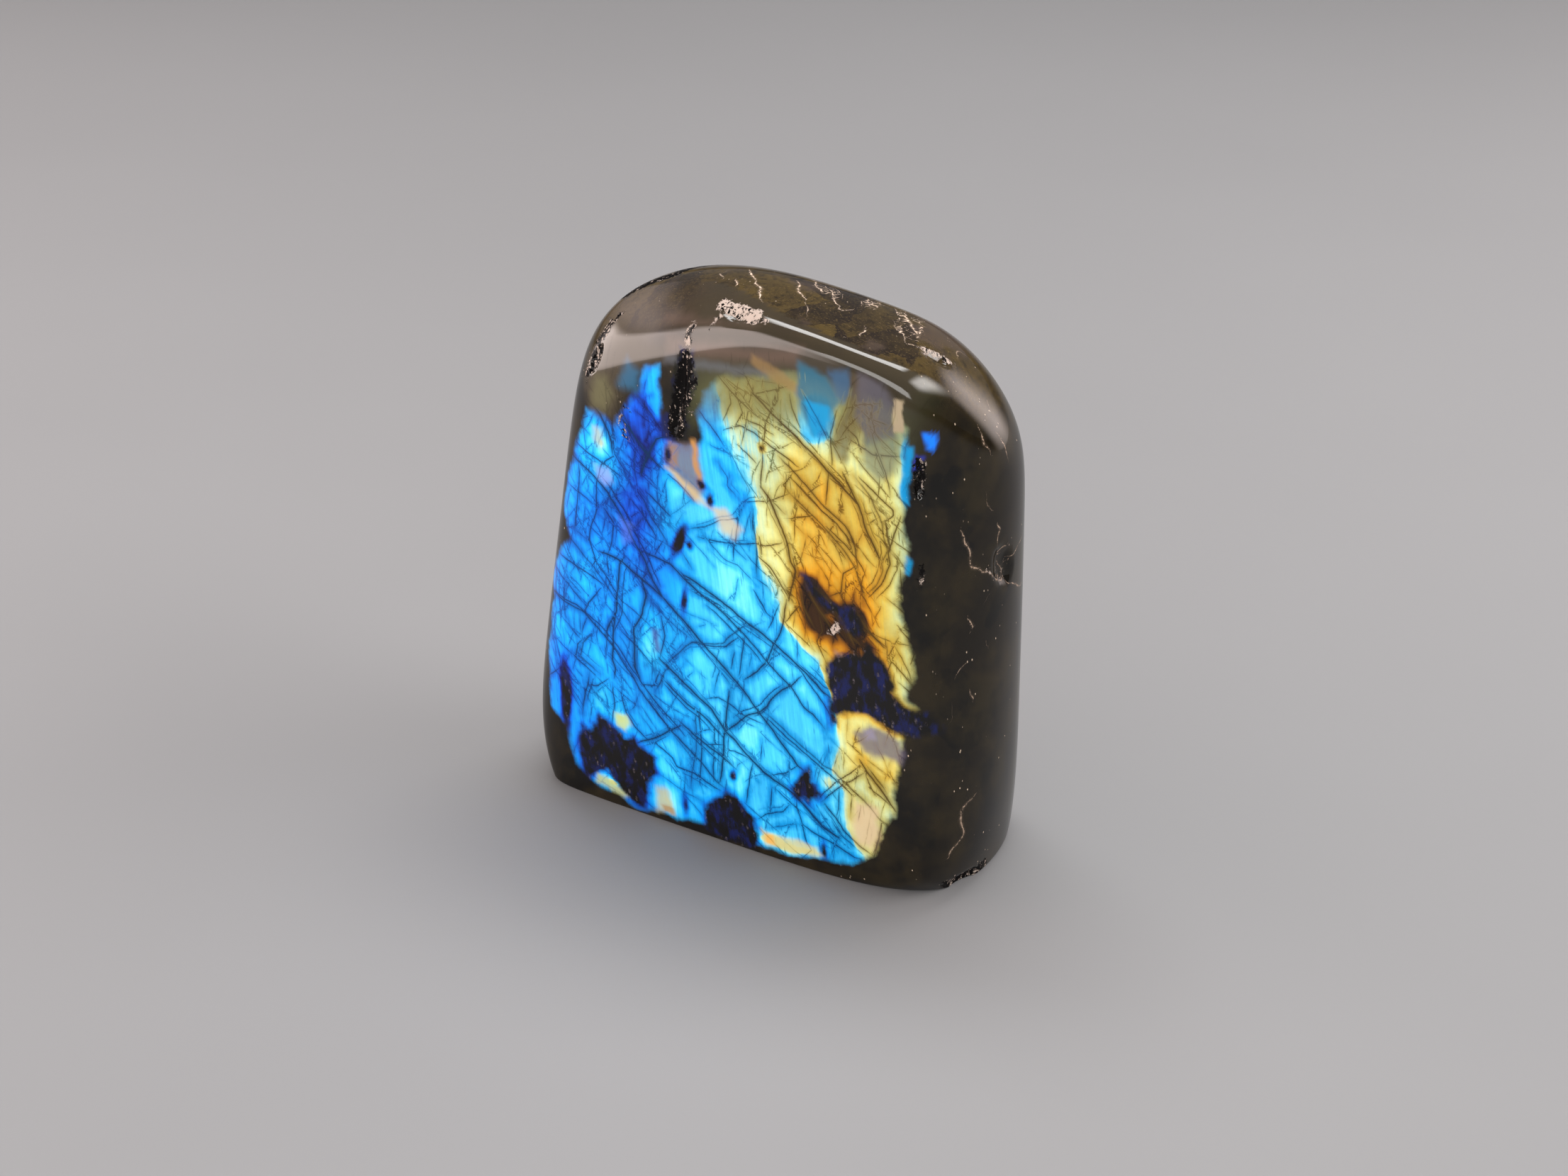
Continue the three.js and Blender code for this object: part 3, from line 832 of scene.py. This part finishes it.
keep("flash", inside_by(loose, FLASH), front, -LIMIT_MM)
keep("dark", inside_by(loose, DARK), front, -LIMIT_MM)
for x, z, half_width, half_height, lean in DARK_SPOTS:
    inside = (1 - spot(tight, x, z, half_width, half_height, lean)) * min(half_width, half_height) * 2
    values["dark"][front] = np.maximum(values["dark"][front], inside)
gold_side = inside_by(loose, GOLD_SIDE)
gold_heart = inside_by(loose, GOLD_HEART)
order = 0.30 + 0.06 * smooth(flat[:, 0], -18, 0)
order += 0.15 * smooth(gold_side, -1.6, 0.5) + 0.05 * smooth(gold_side, -0.2, 4) + 0.12 * smooth(gold_heart, -3, 4)
for *where, change in ORDER_SPOTS:
    order += change * np.exp(-spot(loose, *where) ** 2)
keep("order", order, front)
patches = np.zeros((len(points_mm), 4))
patches[front] = patch_paint(ruffled(flat, [(3, 0.5), (0.9, 0.25)], 5), PATCHES)
near = keep_cracks("strong", tight, front, STRONG_CRACKS, CRACK_WRAP_MM)
near = np.minimum(near, keep_cracks("fine", tight, front, FINE_CRACKS + STRANDS, CRACK_WRAP_MM) + 0.3)
near = np.minimum(near, keep_cracks("hair", tight, front, HAIR_CRACKS + THIN_STRANDS, CRACK_WRAP_MM) + 0.8)
keep("near", near, front, NEAR_MM)
print(len(front), "of", len(points_mm), "points look themselves up on the front")

# %% Veins on the top and the right side
# On the top the pairs are x and y, on the two sides y and z, and on the back x and z
TOP_VEINS = drawn("""
-7 -0.5, -3.5 -4.9, -0.7 -7.4, 1.5 -10, 2.9 -11.9
2.7 -1.1, 5.2 -3.8, 6.9 -5.5, 8.5 -7.1
8.5 -7.1, 10.5 -9.8, 12.3 -11.9
4 2.5, 6 -0.2, 7.3 -1.3, 8.5 -2.4
7.1 1.2, 9 -0.9, 10.8 -2.7, 12.4 -4.5, 13.3 -5.5
8.9 1.6, 10.3 0.1, 11.5 -1
13.5 -6, 14.9 -6.6, 15.4 -5.2
15.4 -3.2, 14.7 -0.9, 14.2 0.8
16.1 -1.4, 15.1 0.9, 14.3 3
15.5 1.9, 17.2 -1.5
14.8 3.6, 16.4 1.9
16 3.9, 17.4 0.9, 18.1 -1
19.2 2.8, 20.7 0.8, 22.4 -1.2, 23.5 -2.9
20.2 3.6, 22 1.2, 23.9 -1.1, 25.4 -2.6, 26.6 -3.6, 27.9 -5.6
22.2 1.9, 23.8 -0.4, 25.2 -2
22 -3.3, 23.5 -4.8, 24.9 -5.6, 26.4 -6.7, 27.6 -8.1
27.6 -8.1, 28.3 -7.7, 29.1 -7.3
27.9 -5.6, 26.8 -3.2, 26.1 -1.1, 25.3 1, 24.7 2.9
23.9 2.8, 25.3 1, 26.8 -1.3
23.8 -3.7, 25 -4.8, 26 -6
32.7 -0.4, 32.4 2.2, 32.2 3.5
20.2 -9.2, 20.9 -10.7, 21.1 -12.1
-9.5 -4.6, -8.2 -6
-10 -1.9, -9.3 -3.4
-5.6 -6.6, -4.6 -7.7
12 9, 14 6.5, 15.5 6
-14 6, -12 3.5
-2 8, 0.5 5
20 8, 22 10
""")
SIDE_VEINS = drawn("""
-11.5 68.6, -11 65.8, -10.6 64.4, -10.4 63.4, -9.7 62.3, -7.9 61, -4.5 58.6, -1.3 56.1
-1.3 56.1, 1.9 54.4, 5 53.5
-3.8 62.4, -3.4 61.1, -2.7 59.2, -2.1 57
-3.8 62.4, -2.9 63.5, -2.2 63.7
-1.4 61.1, 0.7 61.7, 3.1 62.2, 4.7 62.7
-6.8 74, -6.6 72.4, -6.1 71.6
-5 68.2, -4.4 67.1, -5 65.6
0.6 87.8, -1.1 86.7, -1.1 85.7
-2.4 82.8, -1.6 81.1, -1 79
-6.8 85.1, -6.3 82.9, -5.5 81.2
-7.3 55.4, -6.9 56
-11.1 53.4, -10.5 51.9, -10.9 51.1
-7.8 48.4, -7.3 47.3
-13 43.6, -11.6 45.4
-10.5 19.8, -13.7 17.4, -13.1 12.7, -15.7 9.1
-14.5 38, -15 36
-10.5 40, -10.3 38
""")
BACK_VEINS = drawn("""
-24 70, -18 66, -13 60, -9 57, -3 55
-9 57, -7 50, -8 44
10 82, 14 76, 20 72, 27 70
22 40, 27 34, 30 26, 33 22
-20 24, -12 20, -5 19, 2 14
5 36, 8 31, 7 26
-30 48, -27 44, -28 38
""")
LEFT_VEINS = drawn("""
-6 70, -2 66, 3 64
2 40, 5 34, 4 28
-4 20, 0 16
""")
VEIN_WRAP_MM = 1.8
back = np.flatnonzero(outs[:, 1] > 0.6)
left = np.flatnonzero(outs[:, 0] < -0.6)
# How much each point faces up; the material paints the top lighter by it, as light from above
values["upward"] = smooth(outs[:, 2], 0.3, 0.8)
top = np.flatnonzero(outs[:, 2] > 0.6)
side = np.flatnonzero((outs[:, 0] > 0.6) & (outs[:, 2] < 0.6))
vein_values = {}
for where, axes, lines in ((top, [0, 1], TOP_VEINS), (side, [1, 2], SIDE_VEINS), (back, [0, 2], BACK_VEINS), (left, [1, 2], LEFT_VEINS)):
    flat_part = ruffled(points_mm[where][:, axes], [(3, 0.8), (1, 0.3)], 7)
    keep_cracks("part", flat_part, where, lines, VEIN_WRAP_MM)
    for kind in ("_cosine", "_sine", "_strength"):
        part = values.pop("part" + kind)
        whole = vein_values.setdefault("vein" + kind, np.full(len(points_mm), part.min()))
        whole[where] = part[where]
values.update(vein_values)
print(len(top), "points on the top and", len(side), "on the side look up the veins")

# %% Rough places
# Lines along the places that the polish did not reach, with half their width in mm and how white the
# crushed stone is there
ROUGH_LINES = [
    ("-9.6 -17.9 77.9, -9 -17.7 81.9, -8.4 -17.6 85.4, -7.9 -17.3 88.7", 1.9, 0.1),
    ("-6.3 -17.5 87.5, -6.9 -17.6 85.2, -7.4 -17.7 82.3", 1.1, 0.3),
    ("-7.9 -17.3 88.7, -7.7 -17.1 90.9", 1.4, 0.5),
    ("-7.7 -17.1 90.9, -7.7 -16.4 93.9, -7.5 -15.8 95.4", 1.1, 0.9),
    ("-7.5 -15.8 95.4, -5.1 -16.2 95.2", 0.55, 0.9),
    ("-3.5 -16.5 95.1, -3.1 -15.7 97.1, -2.4 -14.9 98.3, -2.6 -13.5 99.3", 0.7, 0.95),
    ("-3.3 -13.4 99.2, -1.2 -14 99.4, 0.9 -14.5 99.4, 3.7 -15 99.4", 1.4, 0.9),
    ("3.7 -15 99.4, 6.4 -15.6 99.2", 0.7, 0.95),
    ("-26 -13 90.5, -26.9 -14.6 87.9, -27.4 -15.4 85.8, -28.2 -15.8 83.5, -28.8 -15.4 80", 1.3, 0.4),
    ("-24.6 -12 93.5, -26 -13 90.5", 0.5, 0.35),
    ("-22.4 -16.5 87.3, -21.4 -17.2 83.9, -21 -17.5 80.7", 0.6, 0.45),
    ("-21 -17.7 77.4, -20.4 -17.8 75.3, -19.6 -18 73.8", 0.9, 0.5),
    ("-20.2 -17.6 79.2, -18.6 -17.6 79", 0.8, 0.4),
    ("-27.7 -5.5 93.6, -24.6 -3.9 95.6, -21.1 -2.4 97.3, -19.8 1.3 97.7, -17.1 4 98.1, -13 8 97.8", 1.9, 0.12),
    ("30 -7 97.1, 31.8 -5.5 96, 32.8 -4.9 95.2, 33.9 -3.4 94.2", 0.75, 1),
    ("35.3 -16.5 82, 35.4 -16.6 77", 0.9, 0.25),
    ("35.9 -16.5 64, 36 -16.5 60.5", 0.9, 0.3),
    ("44.2 -2.1 58.5, 44 -3.4 61.5", 0.6, 0.5),
    ("43.8 -7 60.4, 43.9 -7.6 61.2", 0.6, 0.7),
    ("43.3 -9.8 62.5, 43.1 -10.3 64", 0.7, 0.7),
    ("42.4 -14 1.2, 42.4 -5 1.2", 2.4, 0.3),
    ("21.2 -19.4 48.8, 22.1 -19.4 49.8", 0.8, 0.9),
]


def near_segment(start, end):
    step = end - start
    along = np.clip((points_mm - start) @ step / (step @ step), 0, 1)
    return np.linalg.norm(points_mm - start - along[:, None] * step, axis=1)


rough = np.full(len(points_mm), -2.0)
white = np.zeros(len(points_mm))
for text, half_width, whiteness in ROUGH_LINES:
    line = [np.array([float(n) for n in point.split()]) for point in text.split(",")]
    away = np.min([near_segment(start, end) for start, end in zip(line[:-1], line[1:])], axis=0)
    inside = half_width - away
    white = np.where(inside > rough, whiteness, white)
    rough = np.maximum(rough, inside)
values["rough"] = rough
values["white"] = white
for name, numbers in values.items():
    attribute = mesh.attributes.new(name, "FLOAT", "POINT")
    attribute.data.foreach_set("value", numbers.astype(np.float32))
attribute = mesh.attributes.new("patches", "FLOAT_COLOR", "POINT")
attribute.data.foreach_set("color", patches.astype(np.float32).ravel())
print("stored", ", ".join(values))


# %% [markdown]
# ## Shader arithmetic
#
# A material is a graph of nodes, but most of it is arithmetic, and arithmetic reads better written
# out. One small class wraps a node's output, so that an ordinary expression adds the Math nodes. Any
# other node is added by one method that is given its type, its settings and what goes into it.

# %% Shader helpers
class Value:
    def __init__(self, finish, socket):
        self.finish = finish
        self.socket = socket

    def math(self, operation, *others):
        inputs = dict(enumerate((self,) + others))
        return self.finish.add("ShaderNodeMath", {"operation": operation}, inputs)

    def __add__(self, other):
        return self.math("ADD", other)

    def __sub__(self, other):
        return self.math("SUBTRACT", other)

    def __rsub__(self, other):
        return self.finish.add("ShaderNodeMath", {"operation": "SUBTRACT"}, {0: other, 1: self})

    def __mul__(self, other):
        return self.math("MULTIPLY", other)

    def __truediv__(self, other):
        return self.math("DIVIDE", other)

    def __abs__(self):
        return self.math("ABSOLUTE")

    __radd__ = __add__
    __rmul__ = __mul__


class Finish:
    """The nodes of a material, a lamp or the room, added to by expressions."""

    def __init__(self, owner):
        owner.use_nodes = True
        self.tree = owner.node_tree
        self.tree.nodes.clear()

    def add(self, kind, settings, inputs, output=0):
        node = self.tree.nodes.new(kind)
        for name, setting in settings.items():
            if name == "stops":
                ramp = node.color_ramp
                while len(ramp.elements) < len(setting):
                    ramp.elements.new(1)
                for element, (position, colour) in zip(ramp.elements, setting):
                    element.position = position
                    element.color = colour
            else:
                setattr(node, name, setting)
        for name, value in inputs.items():
            if isinstance(value, Value):
                self.tree.links.new(value.socket, node.inputs[name])
            else:
                node.inputs[name].default_value = value
        return None if output is None else Value(self, node.outputs[output])

    def stored(self, name, output="Fac"):
        settings = {"attribute_type": "GEOMETRY", "attribute_name": name}
        return self.add("ShaderNodeAttribute", settings, {}, output)

    def smooth(self, value, start, end, low=0.0, high=1.0):
        inputs = {"Value": value, "From Min": start, "From Max": end, "To Min": low, "To Max": high}
        return self.add("ShaderNodeMapRange", {"interpolation_type": "SMOOTHSTEP"}, inputs)

    def blend(self, mask, below, above, mode="MIX"):
        settings = {"data_type": "RGBA", "blend_type": mode, "clamp_factor": True}
        return self.add("ShaderNodeMix", settings, {0: mask, 6: below, 7: above}, 2)

    def stretch(self, place, scale):
        inputs = {0: place, 1: scale}
        return self.add("ShaderNodeVectorMath", {"operation": "MULTIPLY"}, inputs)

    def noise(self, place, scale, detail=2.0, rough=0.5, twist=0.0, output=0):
        inputs = {"Vector": place, "Scale": scale, "Detail": detail, "Roughness": rough, "Distortion": twist}
        return self.add("ShaderNodeTexNoise", {}, inputs, output)

    def cells(self, place, scale, feature="F1", output="Distance"):
        inputs = {"Vector": place, "Scale": scale}
        return self.add("ShaderNodeTexVoronoi", {"feature": feature}, inputs, output)


# %% [markdown]
# ## The stone's material
#
# Under the polish there are three things. The body is almost black, with olive and brown clouds
# where light gets a little way in. The flash is a bright colour picked by the order. The cracks and
# inclusions darken both. A clear coat stands for the polish: it is the sharp reflection over the
# softer colours below, and it is missing only where the surface is rough.

# %% Places in the material
polished = bpy.data.materials.new("labradorite_polished")
finish = Finish(polished)
coordinates = finish.add("ShaderNodeTexCoord", {}, {}, "Object")
place = finish.stretch(coordinates, (1 / MM, 1 / MM, 1 / MM))
leaning = finish.add("ShaderNodeVectorRotate", {"rotation_type": "Y_AXIS"},
                     {"Vector": place, "Angle": math.radians(8)})
grain = finish.noise(place, 0.9, 4, 0.6)
clouds = finish.noise(place, 0.09, 4, 0.6)
speckle = finish.noise(place, 2.6, 3, 0.65)
drifts = finish.noise(finish.stretch(leaning, (0.13, 0.13, 0.1)), 1, 5, 0.62)

# %% Order and glow of the flash
facet = finish.add("ShaderNodeTexVoronoi", {"feature": "SMOOTH_F1"},
                   {"Vector": finish.stretch(leaning, (0.2, 0.2, 0.1)), "Scale": 1.0, "Smoothness": 0.35}, "Color")
facet_tone = finish.add("ShaderNodeSeparateColor", {}, {0: facet}, 0)
streaks = finish.noise(finish.stretch(leaning, (1.9, 1.0, 0.12)), 1, 3, 0.6)
dark = finish.stored("dark") + (grain - 0.5) * 1.1
flash_depth = finish.stored("flash") + (grain - 0.5) * 0.8 + (drifts - 0.5) * 1.2
near_dark = finish.smooth(dark, -1.9, 0.1)
near_rim = finish.smooth(flash_depth, 2.6, 0.3)
layers = finish.stored("order") + (facet_tone - 0.5) * 0.06 + (clouds - 0.5) * 0.09 + (streaks - 0.5) * 0.07
on_gold = finish.smooth(finish.stored("order"), 0.43, 0.5)
layers = layers - near_dark * (0.14 - on_gold * 0.28) - near_rim * 0.03
gold_part = finish.smooth(layers, 0.43, 0.52)
near = finish.stored("near") + (grain - 0.5) * 0.8
edge_of_cell = finish.smooth(near, 1.9, 0.0)
layers = layers + edge_of_cell * (gold_part * 0.15 - 0.085)
colour = finish.add("ShaderNodeValToRGB", {"stops": [
    (0.02, paint(0.05, 0.12, 0.46)),
    (0.10, paint(0.03, 0.30, 0.78)),
    (0.20, paint(0.02, 0.49, 0.88)),
    (0.29, paint(0.07, 0.62, 0.91)),
    (0.37, paint(0.24, 0.73, 0.93)),
    (0.44, paint(0.44, 0.82, 0.92)),
    (0.50, paint(0.73, 0.82, 0.66)),
    (0.58, paint(0.77, 0.77, 0.48)),
    (0.67, paint(0.74, 0.64, 0.26)),
    (0.77, paint(0.76, 0.54, 0.10)),
    (0.87, paint(0.55, 0.34, 0.05)),
    (0.96, paint(0.20, 0.12, 0.04)),
]}, {0: layers})
shade = 0.98 + (facet_tone - 0.5) * 0.26 + (streaks - 0.5) * 0.5 + (speckle - 0.5) * 0.16 - edge_of_cell * 0.26
shade_colour = finish.add("ShaderNodeCombineColor", {}, {0: shade, 1: shade, 2: shade})
colour = finish.blend(1.0, colour, shade_colour, "MULTIPLY")


# %% Cracks in the flash
def crack(name, half_width, wrap, soft=0.42):
    """The distance to the crack is unwrapped from its circle, and a soft line is drawn along it."""
    angle = finish.stored(name + "_sine").math("ARCTAN2", finish.stored(name + "_cosine"))
    distance = abs(angle) * (wrap / math.pi) + (speckle - 0.5) * 0.08
    strength = finish.stored(name + "_strength")
    width = strength * half_width
    line = finish.smooth(distance / width, 1.5, 0.3)
    halo = finish.smooth(distance / width, 4, 0.5) * soft
    return line.math("MAXIMUM", halo) * finish.smooth(strength, 0.1, 0.6)


strong = crack("strong", 0.22, CRACK_WRAP_MM, 0.5)
fine = crack("fine", 0.17, CRACK_WRAP_MM, 0.4)
hair = crack("hair", 0.15, CRACK_WRAP_MM, 0.3) * finish.smooth(finish.noise(place, 0.25, 2), 0.3, 0.5)
dash_place = finish.stretch(leaning, (1.0, 0.03, 0.11))
dashes = finish.smooth(finish.cells(dash_place, 1, "F1"), 0.17, 0.07)
more_dashes = finish.smooth(finish.cells(finish.stretch(leaning, (1.5, 0.04, 0.2)), 1, "F1"), 0.16, 0.06)
threads = dashes.math("MAXIMUM", more_dashes) * finish.smooth(finish.noise(place, 0.12, 2), 0.4, 0.56) * 0.7
faint = threads.math("MAXIMUM", hair * 0.9).math("MAXIMUM", fine * 0.7)
faint_shade = finish.blend(gold_part, (0.05, 0.34, 0.46, 1), (0.25, 0.19, 0.07, 1))
colour = finish.blend(faint, colour, faint_shade, "MULTIPLY")
deep_crack = strong.math("MAXIMUM", fine * fine * 0.75)
crack_colour = finish.blend(gold_part, paint(0.0, 0.14, 0.28), paint(0.25, 0.18, 0.04))
colour = finish.blend(deep_crack * 0.93, colour, crack_colour)
broken = deep_crack.math("MAXIMUM", faint * 0.6)

# %% Body of the stone
# Painted light: where the surface faces up, the body and the veins take lighter copies of their colours, with the
# light from above painted in
lit_top_share = finish.stored("upward")
plate_twist = finish.noise(place, 0.3, 3, 0.6, 0, "Color")
plate_place = finish.add("ShaderNodeVectorMath", {"operation": "ADD"}, {
    0: finish.stretch(leaning, (0.13, 0.09, 0.1)), 1: finish.stretch(plate_twist, (0.35, 0.35, 0.35))})
plate = finish.add("ShaderNodeSeparateColor", {}, {0: finish.cells(plate_place, 1, "F1", "Color")}, 0)
body = finish.blend(finish.smooth(clouds, 0.42, 0.66), paint(0.04, 0.036, 0.03), paint(0.12, 0.10, 0.055))
body = finish.blend(finish.smooth(drifts, 0.5, 0.74) * 0.5, body, paint(0.17, 0.14, 0.075))
# Painted light: the lighter copy of the body for the top; its plates, grain, speckle and clouds are the stone's own
lit_top_body = finish.blend(finish.smooth(plate * 0.5 + drifts, 0.45, 1.05), paint(0.12, 0.095, 0.08), paint(0.26, 0.21, 0.11))
lit_top_body = finish.blend(finish.smooth(grain, 0.45, 0.68) * 0.6, lit_top_body, paint(0.08, 0.065, 0.055))
lit_top_body = finish.blend(finish.smooth(speckle, 0.5, 0.75) * 0.5, lit_top_body, paint(0.36, 0.30, 0.19))
lit_top_body = finish.blend(finish.smooth(clouds, 0.52, 0.66) * 0.5, lit_top_body, paint(0.28, 0.235, 0.21))
body = finish.blend(finish.smooth(plate, 0.1, 0.9) * 0.2, body, paint(0.15, 0.12, 0.075))
body = finish.blend(lit_top_share, body, lit_top_body)
flecks = finish.cells(finish.stretch(leaning, (0.9, 0.9, 0.5)), 1, "F1")
fleck_there = finish.smooth(flecks, 0.13, 0.05) * finish.smooth(finish.noise(place, 0.22, 2), 0.52, 0.62)
body = finish.blend(fleck_there * 0.8, body, paint(0.74, 0.66, 0.58))
vein = crack("vein", 0.17, VEIN_WRAP_MM, 0.12) * finish.smooth(speckle, 0.38, 0.54)
vein = vein * finish.smooth(grain, 0.36, 0.6, 0.3, 1.0)
# Painted light: the veins are lighter where the surface faces up
body = finish.blend(vein, body, finish.blend(lit_top_share, paint(0.62, 0.53, 0.46), paint(0.86, 0.76, 0.68)))

# %% Everything under the polish
glowing = finish.smooth(flash_depth, -0.6, 1.1)
under = finish.blend(glowing, body, colour)
# The patches carry the painted reflection on the brow as well as the stone's own patches of colour
cover = finish.stored("patches", "Alpha") * (1 - broken * 0.6)
kept_patches = finish.blend(broken * 0.6, finish.stored("patches", "Color"), (0, 0, 0, 1))
under = finish.blend(1.0, finish.blend(cover, under, (0, 0, 0, 1)), kept_patches, "ADD")
in_dark = finish.smooth(dark, -0.9, 0.5)
navy = finish.smooth(finish.noise(finish.stretch(leaning, (0.5, 0.5, 0.25)), 1, 4, 0.6), 0.45, 0.66)
dark_colour = finish.blend(navy * 0.85, paint(0.045, 0.04, 0.04), paint(0.06, 0.09, 0.27))
glints = finish.cells(finish.stretch(leaning, (0.9, 0.05, 0.45)), 1, "F1")
glints = finish.smooth(glints, 0.30, 0.12) * finish.smooth(speckle, 0.42, 0.6) * 0.55
dark_colour = finish.blend(glints, dark_colour, paint(0.34, 0.31, 0.33))
under = finish.blend(in_dark, under, dark_colour)
ragged = finish.stored("rough") + (grain - 0.5) * 2.4 + (speckle - 0.5) * 1.2
crushed = finish.smooth(ragged, -0.1, 0.25)
chips = finish.add("ShaderNodeTexVoronoi", {"feature": "F1"},
                   {"Vector": finish.stretch(leaning, (2.2, 2.2, 0.9)), "Scale": 1.0}, "Color")
chip_tone = finish.add("ShaderNodeSeparateColor", {}, {0: chips}, 1)
whiteness = finish.smooth(chip_tone * 0.6 + finish.stored("white") * 0.6 + speckle * 1.3, 1.28, 1.5)
crushed_colour = finish.blend(whiteness, paint(0.05, 0.045, 0.045), paint(0.66, 0.60, 0.56))
under = finish.blend(crushed, under, crushed_colour)

# %% Polish
relief = (finish.noise(place, 1.3, 5, 0.7) + chip_tone * 0.6) * crushed
bump = finish.add("ShaderNodeBump", {}, {"Strength": 0.7, "Distance": 0.5 * MM, "Height": relief})
surface = finish.add("ShaderNodeBsdfPrincipled", {}, {
    "Base Color": under,
    "Roughness": finish.smooth(glowing - in_dark, 0.0, 1.0, 0.45, 0.55),
    "Metallic": glowing * (1 - in_dark) * (1 - crushed) * 0.2,
    "Specular IOR Level": 0.0,
    "Coat Weight": 0.75 - crushed * 0.6,
    "Coat Roughness": 0.06,
    "Coat IOR": 1.45,
    "Normal": bump,
})
finish.add("ShaderNodeOutputMaterial", {}, {"Surface": surface}, None)
mesh.materials.append(polished)
print("the material has", len(finish.tree.nodes), "nodes")


# %% [markdown]
# ## Floor and light
#
# The stone stands on a plain pale floor in a dim room. Three soft lamps do what the photograph shows
# on the polish: a broad one at the left lies across the brow, one in front and high up draws the
# thin line along the crest, and one at the right lies on the shoulder.

# %% Floor
floor_mesh = bpy.data.meshes.new("floor")
FLOOR_HALF_M = 12
corners = [(-1, -1), (1, -1), (1, 1), (-1, 1)]
floor_mesh.from_pydata([(x * FLOOR_HALF_M, y * FLOOR_HALF_M, 0) for x, y in corners], [], [(0, 1, 2, 3)])
floor = bpy.data.objects.new("floor", floor_mesh)
bpy.context.collection.objects.link(floor)
floor_matt = bpy.data.materials.new("floor_matt")
floor_finish = Finish(floor_matt)
mottle = floor_finish.noise(floor_finish.add("ShaderNodeTexCoord", {}, {}, "Object"), 6, 3)
tone = floor_finish.blend(mottle, paint(0.45, 0.45, 0.455), paint(0.47, 0.47, 0.475))
matt = floor_finish.add("ShaderNodeBsdfPrincipled", {}, {"Base Color": tone, "Roughness": 0.75, "Specular IOR Level": 0.2})
floor_finish.add("ShaderNodeOutputMaterial", {}, {"Surface": matt}, None)
floor_mesh.materials.append(floor_matt)
print("the floor is", 2 * FLOOR_HALF_M, "m wide")

# %% Lamps
# name, azimuth, elevation, distance in mm, width and height in mm, radiance, soft part of the edge, colour
LAMPS = [
    ("lamp_left", -62, 10, 700, (1200, 440), 9, 0.4, (1.0, 0.86, 0.82)),
    ("lamp_front", 16, 15, 700, (1450, 200), 9.5, 0.3, (1.0, 0.98, 0.95)),
    ("lamp_high", -160, 70, 900, (1050, 330), 17, 0.4, (1.0, 0.99, 0.98)),
    ("lamp_corner", 112, 34, 900, (1000, 520), 15, 0.8, (1.0, 0.96, 0.94)),
    ("lamp_right", 150, 10, 700, (640, 480), 4.5, 0.8, (1.0, 0.86, 0.82)),
]
for name, azimuth, elevation, distance, (wide, tall), radiance, soft, tint in LAMPS:
    light = bpy.data.lights.new(name, "AREA")
    light.shape = "RECTANGLE"
    light.size = wide * MM
    light.size_y = tall * MM
    light.energy = radiance * math.pi * light.size * light.size_y
    light.color = tint
    box = Finish(light)
    spread = box.add("ShaderNodeNewGeometry", {}, {}, "Parametric")
    across = box.add("ShaderNodeSeparateXYZ", {}, {0: spread}, 0)
    upward = box.add("ShaderNodeSeparateXYZ", {}, {0: spread}, 1)
    edge = box.smooth(abs(across - 0.5), 0.5, 0.5 - soft / 2) * box.smooth(abs(upward - 0.5), 0.5, 0.5 - soft / 2)
    edge_colour = box.add("ShaderNodeCombineColor", {}, {0: edge, 1: edge, 2: edge})
    glow = box.add("ShaderNodeEmission", {}, {"Color": edge_colour, "Strength": 1.0})
    box.add("ShaderNodeOutputLight", {}, {"Surface": glow}, None)
    lamp = bpy.data.objects.new(name, light)
    lamp.visible_camera = False
    bpy.context.collection.objects.link(lamp)
    aim(lamp, HEART + toward(azimuth, elevation) * distance, HEART)
print(len(LAMPS), "lamps")

# %% Room
world = bpy.data.worlds.new("room")
bpy.context.scene.world = world
world.use_nodes = True
world.node_tree.nodes["Background"].inputs["Color"].default_value = paint(0.80, 0.80, 0.81)
world.node_tree.nodes["Background"].inputs["Strength"].default_value = 0.3
bpy.context.scene.view_settings.view_transform = "Standard"
print("the room is lit")

# %% Hand over the stone
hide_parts("stone")
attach(stone, "root")
